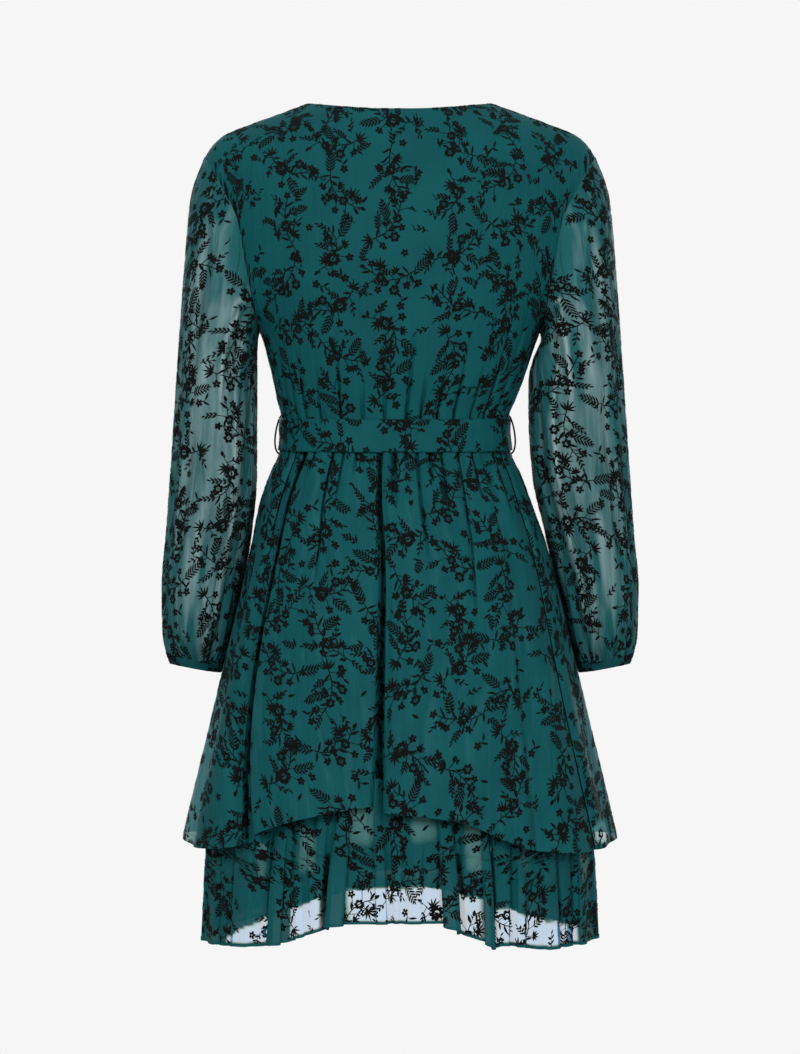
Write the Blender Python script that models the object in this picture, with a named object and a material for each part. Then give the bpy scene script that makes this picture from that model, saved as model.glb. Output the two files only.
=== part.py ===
"""Skater dress: lined bodice, sheer blouson sleeves, sash, two-tier skirt.

The dress stands hollow, as filled out by a wearer who isn't there.  +Z is up,
the front looks to -Y, and the origin is level with the neck corners of the
shoulders, midway between them.  +X is the wearer's left.  Every cut piece is
a wall of cloth: a middle surface worked out from the section, ring and fold
tables below, then thickened by a Solidify modifier.  Sizes are in metres and
angles in degrees, counted round the body from +X, so that 90 is mid-back.
"""

import math
from collections import namedtuple

import bpy
import numpy as np

# Cloth and seams
CLOTH = 0.0012              # wall of every panel
SASH_CLOTH = 0.0016         # the sash is two layers of cloth
SEAM = 0.0004               # middle surfaces end this far apart, 0.3 mm once thick
ROUND = 2.2                 # power of the rings: 2 is an ellipse

# Shoulders and neck
NECK_HALF = 0.106           # neck corner from the middle
SHOULDER_X = 0.2184         # end of the shoulder seam
SHOULDER_Z = -0.0590
SHOULDER_SLOPE = math.tan(math.radians(20.0))
ROUND_OFF_X = 0.180         # the shoulder bends down to the sleeve from here
SHOULDER_CROWN = 0.085      # depth over which the shoulder rounds over
SHOULDER_EASE = 0.0002      # more clearance on the bend of the shoulder seam
BACK_NECK_DIP = 0.014
FRONT_NECK_DROP = 0.125
BACK_NECK_POWER = 2.0       # shape of the neckline: 1 is a V and 2 a round curve
FRONT_NECK_POWER = 1.5
UNDERARM_Z = -0.254

# Waist and sash
WAIST_Z = -0.3685
WAIST_TILT = 0.005          # the waist runs lower at the back than at the sides
SASH_HEIGHT = 0.036
SASH_COVER = 0.0195         # cloth this far above and below the seam lies flat
SASH_EASE = 0.0005          # slack between the sash and the waist
SASH_LAP_DEG = 34.0         # one end lies over the other at the front
LAP_RISE_DEG = 18.0         # the upper end lifts over this much of the sash
LAP_LEAD_DEG = 6.0          # and is up this far before the lap begins

# Skirt
FOLD_START = 0.067          # share of the drop above which the cloth lies flat
FOLD_SETTLE = 0.156         # share of the drop over which the folds then grow
RUFFLE_TOP = -0.742
RUFFLE_FILL = 0.10          # drop over which the ruffle reaches its full waves
RUFFLE_WAVES = 13
RUFFLE_WAVE_HEIGHT = 0.0035
WAVE_DRIFT_DEG = 20.0       # the waves are uneven by this much of a wave's 360
WAVE_DRIFT_TURNS = 3
LINING_HEM = -0.820

# Cuffs and belt loops
CUFF_HEIGHT = 0.0105
CUFF_GAP = 0.0006           # the sleeve's mouth leans in, so its rim takes more room
CUFF_TAPER = 0.94           # size of the cuff's end against its top
CUFF_LEAN = 0.0012          # how far out to the side the cuff leans in each metre
LOOP_CORD = 0.0009          # radius of the thread chain
LOOP_REACH = 0.0075         # how far a loop stands off the waist
LOOP_OVERHANG = 0.004       # the loop is sewn on this far above and below the sash
LOOP_ROOT = 0.0022          # straight run at either end before the loop bends
LOOP_STEPS = 15

# Mesh spacing
UPPER_GRID = (32, 7)        # columns and rows of each half
LINING_GRID = (20, 5)
RUFFLE_GRID = (32, 3)
ROW_SPREAD = 1.15           # rows lie closer together near the waist
SHOULDER_COLUMNS = 7
NECK_COLUMNS = 6
SIDE_ROWS = 4
SIDE_FADE = 6               # power by which gathers die out towards the side seams
ARMHOLE_ROWS = 9
SLEEVE_RINGS = 11
SASH_STEPS = 62

Section = namedtuple("Section", "z half_width back front shift")
TORSO = (
    Section(-0.3900, 0.1265, 0.094, 0.094, 0.0055),
    Section(-0.3500, 0.1275, 0.096, 0.099, 0.0055),
    Section(-0.3300, 0.1335, 0.101, 0.107, 0.0040),
    Section(-0.3080, 0.1400, 0.106, 0.116, 0.0020),
    Section(-0.2540, 0.1570, 0.112, 0.128, 0.0),
    Section(-0.2130, 0.1810, 0.113, 0.126, 0.0),
    Section(-0.1710, 0.1930, 0.112, 0.117, 0.0),
    Section(-0.1340, 0.2010, 0.108, 0.105, 0.0),
    Section(-0.1040, 0.2150, 0.102, 0.096, 0.0),
    Section(-0.0590, 0.2420, 0.090, 0.084, 0.0),
    Section(0.0500, 0.2550, 0.074, 0.070, 0.0),
)
UPPER_TIER = (
    Section(-0.8400, 0.2480, 0.188, 0.184, 0.0),
    Section(-0.7600, 0.2292, 0.174, 0.170, 0.0),
    Section(-0.6900, 0.2122, 0.162, 0.158, 0.0),
    Section(-0.6070, 0.1925, 0.149, 0.146, 0.0),
    Section(-0.5500, 0.1790, 0.140, 0.138, 0.0),
    Section(-0.4980, 0.1664, 0.131, 0.130, 0.0010),
    Section(-0.4420, 0.1500, 0.120, 0.120, 0.0050),
    Section(-0.4090, 0.1375, 0.107, 0.107, 0.0055),
    Section(-0.3945, 0.1305, 0.098, 0.098, 0.0055),
    Section(-0.3685, 0.1268, 0.0943, 0.0943, 0.0055),
    Section(-0.3500, 0.1265, 0.0940, 0.0940, 0.0055),
)
LINING = (
    Section(-0.8350, 0.2095, 0.153, 0.151, 0.0),
    Section(-0.7770, 0.2030, 0.149, 0.147, 0.0),
    Section(-0.6840, 0.1900, 0.141, 0.139, 0.0),
    Section(-0.5730, 0.1720, 0.129, 0.127, 0.0),
    Section(-0.5100, 0.1570, 0.119, 0.118, 0.0010),
    Section(-0.4500, 0.1410, 0.109, 0.109, 0.0050),
    Section(-0.4090, 0.1305, 0.099, 0.099, 0.0055),
    Section(-0.3890, 0.1255, 0.094, 0.094, 0.0055),
    Section(-0.3500, 0.1246, 0.092, 0.092, 0.0055),
)
RUFFLE = (
    Section(-0.9400, 0.2225, 0.168, 0.166, 0.0),
    Section(-0.8800, 0.2195, 0.165, 0.163, 0.0),
    Section(-0.8300, 0.2165, 0.161, 0.159, 0.0),
    Section(-0.7800, 0.2085, 0.154, 0.152, 0.0),
    Section(-0.7420, 0.2000, 0.1482, 0.1462, 0.0),
)

Edge = namedtuple("Edge", "deg z")
UPPER_HEM = (
    Edge(0.0, -0.816), Edge(24.0, -0.823), Edge(42.0, -0.817), Edge(52.0, -0.801),
    Edge(64.0, -0.786), Edge(76.0, -0.776), Edge(85.0, -0.772), Edge(95.0, -0.781),
    Edge(105.0, -0.788), Edge(115.0, -0.806), Edge(126.0, -0.820), Edge(145.0, -0.825),
    Edge(180.0, -0.818), Edge(215.0, -0.823), Edge(240.0, -0.806), Edge(270.0, -0.788),
    Edge(300.0, -0.804), Edge(328.0, -0.821), Edge(360.0, -0.816),
)
RUFFLE_HEM = (
    Edge(0.0, -0.931), Edge(25.0, -0.930), Edge(45.0, -0.926), Edge(56.0, -0.921),
    Edge(66.0, -0.909), Edge(77.0, -0.897), Edge(99.0, -0.896), Edge(105.0, -0.907),
    Edge(118.0, -0.924), Edge(135.0, -0.929), Edge(180.0, -0.927), Edge(225.0, -0.925),
    Edge(250.0, -0.904), Edge(270.0, -0.893), Edge(290.0, -0.904), Edge(315.0, -0.925),
    Edge(360.0, -0.931),
)

Fold = namedtuple("Fold", "top_deg hem_deg width top_depth hem_depth")
UPPER_FOLDS = (
    Fold(42.0, 44.0, 7.0, 0.004, 0.013),
    Fold(58.0, 62.0, 7.0, 0.005, 0.001),
    Fold(83.0, 85.0, 6.5, 0.006, 0.011),
    Fold(122.0, 116.0, 7.5, 0.005, 0.003),
    Fold(146.0, 129.0, 7.5, 0.004, 0.010),
    Fold(208.0, 214.0, 7.5, 0.004, 0.011),
    Fold(236.0, 240.0, 7.5, 0.005, 0.004),
    Fold(262.0, 259.0, 7.0, 0.005, 0.010),
    Fold(290.0, 295.0, 8.0, 0.005, 0.003),
    Fold(322.0, 318.0, 7.5, 0.004, 0.012),
)

Gather = namedtuple("Gather", "deg rise depth")
GATHERS = (
    Gather(32.0, 0.080, 0.0030),
    Gather(64.0, 0.115, 0.0028),
    Gather(97.0, 0.075, 0.0026),
    Gather(118.0, 0.055, 0.0024),
    Gather(141.0, 0.085, 0.0030),
    Gather(214.0, 0.085, 0.0030),
    Gather(241.0, 0.065, 0.0026),
    Gather(262.0, 0.090, 0.0028),
    Gather(284.0, 0.060, 0.0024),
    Gather(324.0, 0.085, 0.0030),
)
GATHER_WIDTH = 8.0
GATHER_START = 0.014

ArmholePoint = namedtuple("ArmholePoint", "z x")
ARMHOLE = (
    ArmholePoint(-0.2540, 0.1570),
    ArmholePoint(-0.2130, 0.1645),
    ArmholePoint(-0.1710, 0.1722),
    ArmholePoint(-0.1340, 0.1790),
    ArmholePoint(-0.1040, 0.1930),
    ArmholePoint(-0.0750, 0.2085),
    ArmholePoint(-0.0590, 0.2184),
)

# Sleeve rings from the armhole to the cuff; the right sleeve hangs closer to the
# waist than the left one, by the column called near
Ring = namedtuple("Ring", "outer_x outer_z inner_x inner_z depth y near")
SLEEVE = (
    Ring(0.2184, -0.0590, 0.1570, -0.2540, 0.056, 0.000, 0.0),
    Ring(0.2335, -0.1030, 0.1592, -0.2640, 0.062, 0.000, 0.0014),
    Ring(0.2405, -0.1740, 0.1598, -0.2840, 0.064, -0.001, 0.0105),
    Ring(0.2455, -0.2400, 0.1598, -0.3120, 0.062, -0.003, 0.0162),
    Ring(0.2508, -0.3140, 0.1600, -0.3580, 0.059, -0.006, 0.0158),
    Ring(0.2566, -0.3960, 0.1606, -0.4180, 0.057, -0.011, 0.0116),
    Ring(0.2624, -0.4720, 0.1668, -0.4800, 0.055, -0.018, 0.0038),
    Ring(0.2686, -0.5420, 0.1785, -0.5480, 0.053, -0.026, 0.0),
    Ring(0.2672, -0.5930, 0.1898, -0.6000, 0.045, -0.030, 0.0),
    Ring(0.2622, -0.6160, 0.1990, -0.6260, 0.029, -0.031, 0.0),
)
ARMHOLE_BLEND = 0.30        # share of the sleeve that keeps the armhole's shape
ARMHOLE_TUCK = 0.0013       # the sleeve stands this much further out underarm

# Finishes
CHIFFON_ROUGHNESS = 0.75
SHEER_ROUGHNESS = 0.7
LINING_ROUGHNESS = 0.6
THREAD_ROUGHNESS = 0.8
TEAL = (0.0075, 0.081, 0.088, 1.0)
TEAL_SHEER = (0.075, 0.185, 0.195, 1.0)
TEAL_LINING = (0.030, 0.095, 0.095, 1.0)
BLACK_THREAD = (0.006, 0.008, 0.008, 1.0)


def smoothstep(value):
    """Ease from 0 to 1 as value runs from 0 to 1."""
    step = np.clip(value, 0.0, 1.0)
    return step * step * (3.0 - 2.0 * step)


def cubic(places, values, at):
    """Smooth curve through (places, values) that never overshoots them."""
    places = np.asarray(places, float)
    values = np.asarray(values, float)
    rise = np.diff(values) / np.diff(places)
    both = rise[:-1] * rise[1:]
    total = np.where(both > 0.0, rise[:-1] + rise[1:], 1.0)
    inner = np.where(both > 0.0, 2.0 * both / total, 0.0)
    slopes = np.concatenate([rise[:1], inner, rise[-1:]])
    at = np.asarray(at, float)
    low = np.clip(np.searchsorted(places, at) - 1, 0, len(places) - 2)
    span = places[low + 1] - places[low]
    t = np.clip((at - places[low]) / span, 0.0, 1.0)
    t2 = t * t
    t3 = t2 * t
    return ((2 * t3 - 3 * t2 + 1) * values[low] + (t3 - 2 * t2 + t) * span * slopes[low]
            + (3 * t2 - 2 * t3) * values[low + 1] + (t3 - t2) * span * slopes[low + 1])


def read(table, key, column, at):
    """Read one column of a table against another, as a smooth curve."""
    rows = sorted(table, key=lambda row: getattr(row, key))
    places = [getattr(row, key) for row in rows]
    values = [getattr(row, column) for row in rows]
    return cubic(places, values, at)


def cloth(name, points, closed, color, roughness, thickness=CLOTH):
    """Thicken a grid of points, rows by columns, into one wall of cloth."""
    rows, columns = points.shape[:2]
    index = np.arange(rows * columns).reshape(rows, columns)
    following = np.roll(index, -1, axis=1) if closed else index[:, 1:]
    here = index if closed else index[:, :-1]
    quads = np.stack([here[:-1], following[:-1], following[1:], here[1:]], axis=-1)
    mesh = bpy.data.meshes.new(name)
    mesh.from_pydata(points.reshape(-1, 3).tolist(), [], quads.reshape(-1, 4).tolist())
    piece = add_object(name, mesh, color, roughness)
    mesh.shade_smooth()
    wall = piece.modifiers.new("wall", "SOLIDIFY")
    wall.thickness = thickness
    wall.offset = 0.0


def add_object(name, data, color, roughness):
    """Place a mesh or curve in the scene with a material of its own."""
    material = bpy.data.materials.new(name + "_cloth")
    material.use_nodes = True
    shader = material.node_tree.nodes["Principled BSDF"]
    shader.inputs["Base Color"].default_value = color
    shader.inputs["Roughness"].default_value = roughness
    shader.inputs["Metallic"].default_value = 0.0
    data.materials.append(material)
    piece = bpy.data.objects.new(name, data)
    bpy.context.scene.collection.objects.link(piece)
    return piece


def ring_point(sections, deg, z):
    """Point and outward direction on a table's rounded ring at an angle and height."""
    turn = np.radians(deg)
    cosine = np.cos(turn)
    sine = np.sin(turn)
    width = read(sections, "z", "half_width", z)
    back = read(sections, "z", "back", z)
    front = read(sections, "z", "front", z)
    depth = np.where(sine >= 0.0, back, front)
    across = np.sign(cosine) * np.abs(cosine) ** (2.0 / ROUND)
    along = np.sign(sine) * np.abs(sine) ** (2.0 / ROUND)
    out_x = across / width
    out_y = along / depth
    size = np.hypot(out_x, out_y)
    x = width * across + read(sections, "z", "shift", z)
    return x, depth * along, out_x / size, out_y / size


def waist_height(deg):
    """Height of the waist seam, lower at the back than at the front."""
    return WAIST_Z - WAIST_TILT * np.sin(np.radians(deg))


def fold_relief(folds, deg, drop):
    """Depth of the folds at an angle, drop being 0 at the waist and 1 at the hem."""
    relief = np.zeros(np.broadcast(deg, drop).shape)
    for fold in folds:
        centre = fold.top_deg + (fold.hem_deg - fold.top_deg) * drop
        depth = fold.top_depth + (fold.hem_depth - fold.top_depth) * drop
        away = (deg - centre + 180.0) % 360.0 - 180.0
        relief -= depth * np.exp(-(away / fold.width) ** 2)
    return relief


def half_of(deg):
    """+1 on the back half of the body and -1 on the front half."""
    return 1.0 if 0.0 <= deg < 180.0 else -1.0


def skirt_panel(name, start, sections, top, hem, spacing, relief, color, roughness, band=0.0):
    """Half a skirt, over 180 degrees from start: a band under the sash, then rows to the hem."""
    columns, rows = spacing
    deg = np.linspace(start, start + 180.0, columns + 1)[None, :]
    share = (np.linspace(0.0, 1.0, rows + 1) ** ROW_SPREAD)[:, None]
    z = top(deg) - band + (hem(deg) - top(deg) + band) * share
    if band > 0.0:
        z = np.concatenate([top(deg), z])
    x, y, out_x, out_y = ring_point(sections, deg, z)
    swell = relief(deg, z)
    points = np.stack([x + out_x * swell, y + out_y * swell, z], axis=-1)
    points[..., 1] += half_of(start) * SEAM / 2
    cloth(name, points, False, color, roughness)


def upper_tier(name, start):
    """Outer tier of the skirt, with its pleats and its uneven hem."""
    def top(deg):
        return waist_height(deg) - SEAM / 2

    def hem(deg):
        return read(UPPER_HEM, "deg", "z", deg)

    def relief(deg, z):
        drop = (WAIST_Z - z) / (WAIST_Z - UPPER_HEM[0].z)
        settle = smoothstep((drop - FOLD_START) / FOLD_SETTLE)
        return fold_relief(UPPER_FOLDS, deg, drop) * settle

    skirt_panel(name, start, UPPER_TIER, top, hem, UPPER_GRID, relief, TEAL, CHIFFON_ROUGHNESS,
                SASH_COVER)


def lining(name, start):
    """Plain lining that hangs inside the outer tier and carries the ruffle."""
    def top(deg):
        return waist_height(deg) - SEAM / 2

    def hem(deg):
        return np.full(np.shape(deg), LINING_HEM)

    def relief(deg, z):
        return np.zeros(np.broadcast(deg, z).shape)

    skirt_panel(name, start, LINING, top, hem, LINING_GRID, relief, TEAL_LINING,
                LINING_ROUGHNESS, SASH_COVER)


def ruffle(name, start):
    """Sheer lower tier, gathered on to the lining."""
    def top(deg):
        return np.full(np.shape(deg), RUFFLE_TOP)

    def hem(deg):
        return read(RUFFLE_HEM, "deg", "z", deg)

    def relief(deg, z):
        fullness = smoothstep((RUFFLE_TOP - z) / RUFFLE_FILL)
        drift = WAVE_DRIFT_DEG * np.sin(np.radians(WAVE_DRIFT_TURNS * deg))
        wave = np.cos(np.radians(deg * RUFFLE_WAVES + drift))
        return RUFFLE_WAVE_HEIGHT * fullness * wave

    skirt_panel(name, start, RUFFLE, top, hem, RUFFLE_GRID, relief, TEAL_SHEER, SHEER_ROUGHNESS)


def ridge_height(x):
    """Height of the shoulder seam's line at x, carried on across the neck."""
    out = np.abs(x)
    bend = (SHOULDER_SLOPE * (SHOULDER_X - NECK_HALF) + SHOULDER_Z) / (
        (SHOULDER_X - ROUND_OFF_X) ** 3)
    return (NECK_HALF - out) * SHOULDER_SLOPE + bend * np.maximum(out - ROUND_OFF_X, 0.0) ** 3


def torso_depth(x, z, share, half):
    """How far the bodice stands behind (half +1) or before (-1) the shoulder line.

    share is x over the torso's half width: 0 in the middle and 1 at the side.
    """
    depth = read(TORSO, "z", "back" if half > 0 else "front", z)
    crown = np.clip((ridge_height(x) - z) / SHOULDER_CROWN, 0.0, 1.0)
    rounding = np.sqrt(1.0 - (1.0 - crown) ** 2)
    return half * depth * (1.0 - np.clip(share, 0.0, 1.0) ** ROUND) ** (1.0 / ROUND) * rounding


def armhole_steps():
    """Heights down the armhole, close together at the shoulder and underarm."""
    turn = np.linspace(0.0, math.pi, ARMHOLE_ROWS + 1)
    middle = (SHOULDER_Z + UNDERARM_Z) / 2
    return middle + (SHOULDER_Z - middle) * np.cos(turn)


def bodice(name, half):
    """Front or back of the bodice, from the waist to the shoulders and neck."""
    corner = math.degrees(math.acos((NECK_HALF / SHOULDER_X) ** (ROUND / 2)))
    shoulder = np.linspace(0.0, corner, SHOULDER_COLUMNS + 1)
    neck_deg = np.linspace(corner, 180.0 - corner, NECK_COLUMNS + 1)[1:-1]
    deg = np.concatenate([shoulder, neck_deg, 180.0 - shoulder[::-1]])
    cosine = np.cos(np.radians(deg))
    side = np.sign(cosine) * np.abs(cosine) ** (2.0 / ROUND)
    bottom = waist_height(deg * half) + SEAM / 2

    band_z = WAIST_Z + SASH_COVER
    edge_z = np.concatenate([np.linspace(band_z, UNDERARM_Z, SIDE_ROWS)[:-1], armhole_steps()[::-1]])
    rise = (edge_z - band_z) / (SHOULDER_Z - band_z)
    edge_z = np.concatenate([[WAIST_Z], edge_z])
    torso_x = read(TORSO, "z", "half_width", edge_z)
    edge_x = np.where(edge_z < UNDERARM_Z, torso_x, read(ARMHOLE, "z", "x", edge_z))

    top_x = side * SHOULDER_X
    inside = np.clip(np.abs(top_x) / NECK_HALF, 0.0, 1.0)
    if half > 0:
        neck = -BACK_NECK_DIP * (1.0 - inside ** BACK_NECK_POWER)
    else:
        neck = -FRONT_NECK_DROP * (1.0 - inside ** FRONT_NECK_POWER)
    top = np.where(inside < 1.0, neck, ridge_height(top_x))

    base = bottom + SASH_COVER
    z = np.concatenate([[bottom], base + (top - base) * rise[:, None]])
    x = side[None, :] * edge_x[:, None]
    y = torso_depth(x, z, np.abs(side) * (edge_x / torso_x)[:, None], half)
    swell = gather_relief(deg * half % 360.0, z - bottom[None, :])
    y += half * swell * (1.0 - np.abs(side[None, :]) ** SIDE_FADE)
    x += read(TORSO, "z", "shift", z) + side[None, :] * swell * np.abs(side[None, :])
    y += half * SEAM / 2
    y[-1] += half * SHOULDER_EASE
    points = np.stack([x, y, z], axis=-1)
    if half < 0:
        points = points[:, ::-1]
    cloth(name, points, False, TEAL, CHIFFON_ROUGHNESS)


def gather_relief(deg, height):
    """Soft gathers that stand up from the waist seam and die out above it."""
    relief = np.zeros(np.broadcast(deg, height).shape)
    start = SASH_HEIGHT / 2
    for gather in GATHERS:
        away = (deg - gather.deg + 180.0) % 360.0 - 180.0
        begin = smoothstep((height - start) / GATHER_START)
        fade = smoothstep(1.0 - (height - start) / gather.rise)
        relief -= gather.depth * np.exp(-(away / GATHER_WIDTH) ** 2) * begin * fade
    return relief


def armhole_loop(turn):
    """Closed edge of the left armhole; turn is 0 at the shoulder, 180 underarm."""
    cosine = np.cos(np.radians(turn))
    middle = (SHOULDER_Z + UNDERARM_Z) / 2
    z = middle + (SHOULDER_Z - middle) * cosine
    x = read(ARMHOLE, "z", "x", z)
    share = x / read(TORSO, "z", "half_width", z)
    behind = torso_depth(x, z, share, 1)
    before = torso_depth(x, z, share, -1)
    y = np.where(np.sin(np.radians(turn)) >= 0.0, behind, before)
    return np.stack([x, y, z], axis=-1)


def sleeve_ring(share, turn, side):
    """Points of a sleeve as if on the left, share being 0 at the armhole and 1 at the cuff."""
    place = np.linspace(0.0, 1.0, len(SLEEVE))

    def column(name):
        return cubic(place, [getattr(ring, name) for ring in SLEEVE], share)

    cosine = np.cos(np.radians(turn))
    sine = np.sin(np.radians(turn))
    outer_x, inner_x = column("outer_x"), column("inner_x")
    if side < 0:
        inner_x = inner_x - column("near")
    outer_z, inner_z = column("outer_z"), column("inner_z")
    x = (outer_x + inner_x) / 2 + (outer_x - inner_x) / 2 * cosine
    z = (outer_z + inner_z) / 2 + (outer_z - inner_z) / 2 * cosine
    y = column("y") + column("depth") * sine
    return np.stack([x, y, z], axis=-1)


def sleeve_points(side):
    """Grid of a sleeve's middle surface, as if on the left, rings by columns."""
    turn = np.linspace(0.0, 360.0, 2 * ARMHOLE_ROWS, endpoint=False)[None, :]
    share = np.linspace(0.0, 1.0, SLEEVE_RINGS + 1)[:, None]
    points = sleeve_ring(share, turn, side)
    to_armhole = armhole_loop(turn) - sleeve_ring(np.zeros((1, 1)), turn, side)
    keep = 1.0 - smoothstep(share / ARMHOLE_BLEND)
    points += keep[..., None] * to_armhole
    lead = points[1] - points[0]
    lead /= np.linalg.norm(lead, axis=-1)[:, None]
    tuck = ARMHOLE_TUCK * (1.0 - np.cos(np.radians(turn[0]))) / 2
    points[0] += lead * SEAM * 1.5
    points[0, :, 0] += tuck
    points[1, :, 0] += tuck
    return points


def sleeve(name, cuff_name, side):
    """Sheer blouson sleeve and its narrow elastic cuff; side is +1 on the left."""
    points = sleeve_points(side)
    end = points[-1]
    middle = end.mean(axis=0)
    fall = np.array([-CUFF_LEAN, 0.0, -1.0])
    cuff_top = end + fall * CUFF_GAP
    cuff_end = middle + (end - middle) * CUFF_TAPER + fall * (CUFF_GAP + CUFF_HEIGHT)
    cuff = np.stack([cuff_top, cuff_end])
    for grid, label in ((points, name), (cuff, cuff_name)):
        placed = grid * np.array([side, 1.0, 1.0])
        if side < 0:
            placed = placed[:, ::-1]
        cloth(label, placed, True, TEAL_SHEER, SHEER_ROUGHNESS)


def sash():
    """Flat sash round the waist, one end lapped over the other at the front."""
    deg = np.linspace(-90.0 - SASH_LAP_DEG / 2, 270.0 + SASH_LAP_DEG / 2, SASH_STEPS + 1)
    rest = CLOTH / 2 + SEAM + SASH_EASE + SASH_CLOTH / 2
    lap_start = 270.0 - SASH_LAP_DEG / 2
    lift = smoothstep((deg - (lap_start - LAP_LEAD_DEG - LAP_RISE_DEG)) / LAP_RISE_DEG)
    away = rest + lift * (SASH_CLOTH + SEAM)
    rows = []
    for end in (1.0, -1.0):
        z = waist_height(deg) + end * SASH_HEIGHT / 2
        x, y, out_x, out_y = ring_point(TORSO, deg, z)
        skirt = ring_point(UPPER_TIER, deg, z)
        reach = np.maximum((skirt[0] - x) * out_x + (skirt[1] - y) * out_y, 0.0)
        rows.append(np.stack([x + out_x * (away + reach), y + out_y * (away + reach), z], axis=-1))
    cloth("sash", np.stack(rows), False, TEAL, CHIFFON_ROUGHNESS, SASH_CLOTH)


def belt_loop(name, side):
    """Thread loop at a side seam, sewn down above and below the sash."""
    top_z = WAIST_Z + SASH_HEIGHT / 2 + LOOP_OVERHANG
    low_z = WAIST_Z - SASH_HEIGHT / 2 - LOOP_OVERHANG
    deg = 0.0 if side > 0 else 180.0
    gap = CLOTH / 2 + SEAM + LOOP_CORD * 1.2
    top_x = side * ring_point(TORSO, deg, top_z)[0] + gap
    low_x = side * ring_point(UPPER_TIER, deg, low_z)[0] + gap
    out = side * ring_point(TORSO, deg, WAIST_Z)[0] + LOOP_REACH
    straight = SASH_HEIGHT / 6
    route = (
        (top_x, top_z + LOOP_CORD),
        (top_x + LOOP_ROOT, top_z + LOOP_CORD),
        (out - LOOP_CORD, top_z - LOOP_OVERHANG),
        (out, WAIST_Z + straight),
        (out, WAIST_Z - straight),
        (out - LOOP_CORD / 3, low_z + LOOP_OVERHANG),
        (low_x + LOOP_ROOT, low_z),
        (low_x, low_z),
    )
    knots = np.linspace(0.0, 1.0, len(route))
    steps = np.linspace(0.0, 1.0, LOOP_STEPS)
    xs = side * cubic(knots, [point[0] for point in route], steps)
    zs = cubic(knots, [point[1] for point in route], steps)
    curve = bpy.data.curves.new(name, "CURVE")
    curve.dimensions = "3D"
    curve.bevel_depth = LOOP_CORD
    curve.bevel_resolution = 2
    curve.use_fill_caps = True
    line = curve.splines.new("POLY")
    line.points.add(len(steps) - 1)
    for point, x, z in zip(line.points, xs, zs):
        point.co = (x, 0.0, z, 1.0)
    add_object(name, curve, BLACK_THREAD, THREAD_ROUGHNESS)


def build():
    """Clear the scene and make every piece of the dress."""
    for old in list(bpy.data.objects):
        bpy.data.objects.remove(old)
    bodice("bodice_back", 1)
    bodice("bodice_front", -1)
    sleeve("sleeve_left", "cuff_left", 1)
    sleeve("sleeve_right", "cuff_right", -1)
    upper_tier("skirt_upper_back", 0.0)
    upper_tier("skirt_upper_front", 180.0)
    lining("lining_back", 0.0)
    lining("lining_front", 180.0)
    ruffle("skirt_lower_back", 0.0)
    ruffle("skirt_lower_front", 180.0)
    sash()
    belt_loop("belt_loop_left", 1)
    belt_loop("belt_loop_right", -1)


build()
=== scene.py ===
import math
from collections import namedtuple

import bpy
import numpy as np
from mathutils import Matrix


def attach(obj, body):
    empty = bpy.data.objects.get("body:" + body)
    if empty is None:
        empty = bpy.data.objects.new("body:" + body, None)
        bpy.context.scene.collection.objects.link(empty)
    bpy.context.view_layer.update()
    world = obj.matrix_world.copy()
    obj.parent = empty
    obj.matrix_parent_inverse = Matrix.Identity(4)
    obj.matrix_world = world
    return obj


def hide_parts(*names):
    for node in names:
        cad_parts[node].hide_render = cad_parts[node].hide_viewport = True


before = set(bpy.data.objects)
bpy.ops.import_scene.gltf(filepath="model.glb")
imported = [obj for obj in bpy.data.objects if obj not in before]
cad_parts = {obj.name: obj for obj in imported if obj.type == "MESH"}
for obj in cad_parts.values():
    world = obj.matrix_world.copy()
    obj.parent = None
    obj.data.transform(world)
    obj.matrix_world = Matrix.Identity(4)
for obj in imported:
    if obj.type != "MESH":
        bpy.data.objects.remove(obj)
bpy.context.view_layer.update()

# Skater dress in teal chiffon with a black flocked print.  Every panel is a thin
# shell of cloth worked out on a grid: rows run from its top edge to its hem and
# columns from side seam to side seam.  Angles are in degrees round the body from
# +X, so 90 is mid-back, and lengths are in metres unless a name says otherwise.
# The print is laid out flat, in millimetres of cloth, and then carried on to the
# grid, so that it runs with the folds.


def table(columns, *rows):
    """Rows of values whose columns can be read by name."""
    return [namedtuple("Row", columns)(*row) for row in rows]


# Camera and frame
CAMERA_DISTANCE = 3.4
CAMERA_HEIGHT = -0.4726
FRAME_HEIGHT = 1.1805       # height of the view at the middle of the dress
SENSOR = 36.0
FLOOR_Z = -1.26
FLOOR_HALF = 0.62

# Sizes shared with the solids
ROUND = 2.2                 # power of the rings: 2 is an ellipse
NECK_HALF = 0.106
SHOULDER_X = 0.2184
SHOULDER_Z = -0.0590
SHOULDER_SLOPE = math.tan(math.radians(20.0))
ROUND_OFF_X = 0.180
SHOULDER_CROWN = 0.085
BACK_NECK_DIP = 0.014
FRONT_NECK_DROP = 0.125
UNDERARM_Z = -0.254
WAIST_Z = -0.3685
WAIST_TILT = 0.005
SASH_HEIGHT = 0.036
SASH_COVER = 0.0195
SASH_LAP_DEG = 34.0
SASH_STAND_OFF = 0.0016     # from the waist's cloth to the middle of the sash
SASH_LIFT = 0.0020          # how much further the end that laps over stands off
SASH_SLACK = 0.0006         # height of its soft creases and of its bulge
RUFFLE_TOP = -0.742
RUFFLE_SPAN = 0.19          # mean radius of the ruffle
RUFFLE_SLIT = 0.0014        # half width of the slits beside its flutes
RUFFLE_CRIMP = 0.0012       # height of the fine gathers at its top
RUFFLE_DRAW = 0.003         # how far its foot is drawn in
UPPER_RIPPLE = 0.0011       # height of the outer tier's fine waves under the waist
LINING_WAVE = 0.0022        # height of the lining's waves at its hem
LINING_HEM = -0.820
LINING_CLEARANCE = 0.0015   # what the folds of the outer tier leave before the lining
LINING_TUCK = 0.0070        # how far the lining is drawn in under the folds
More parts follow.
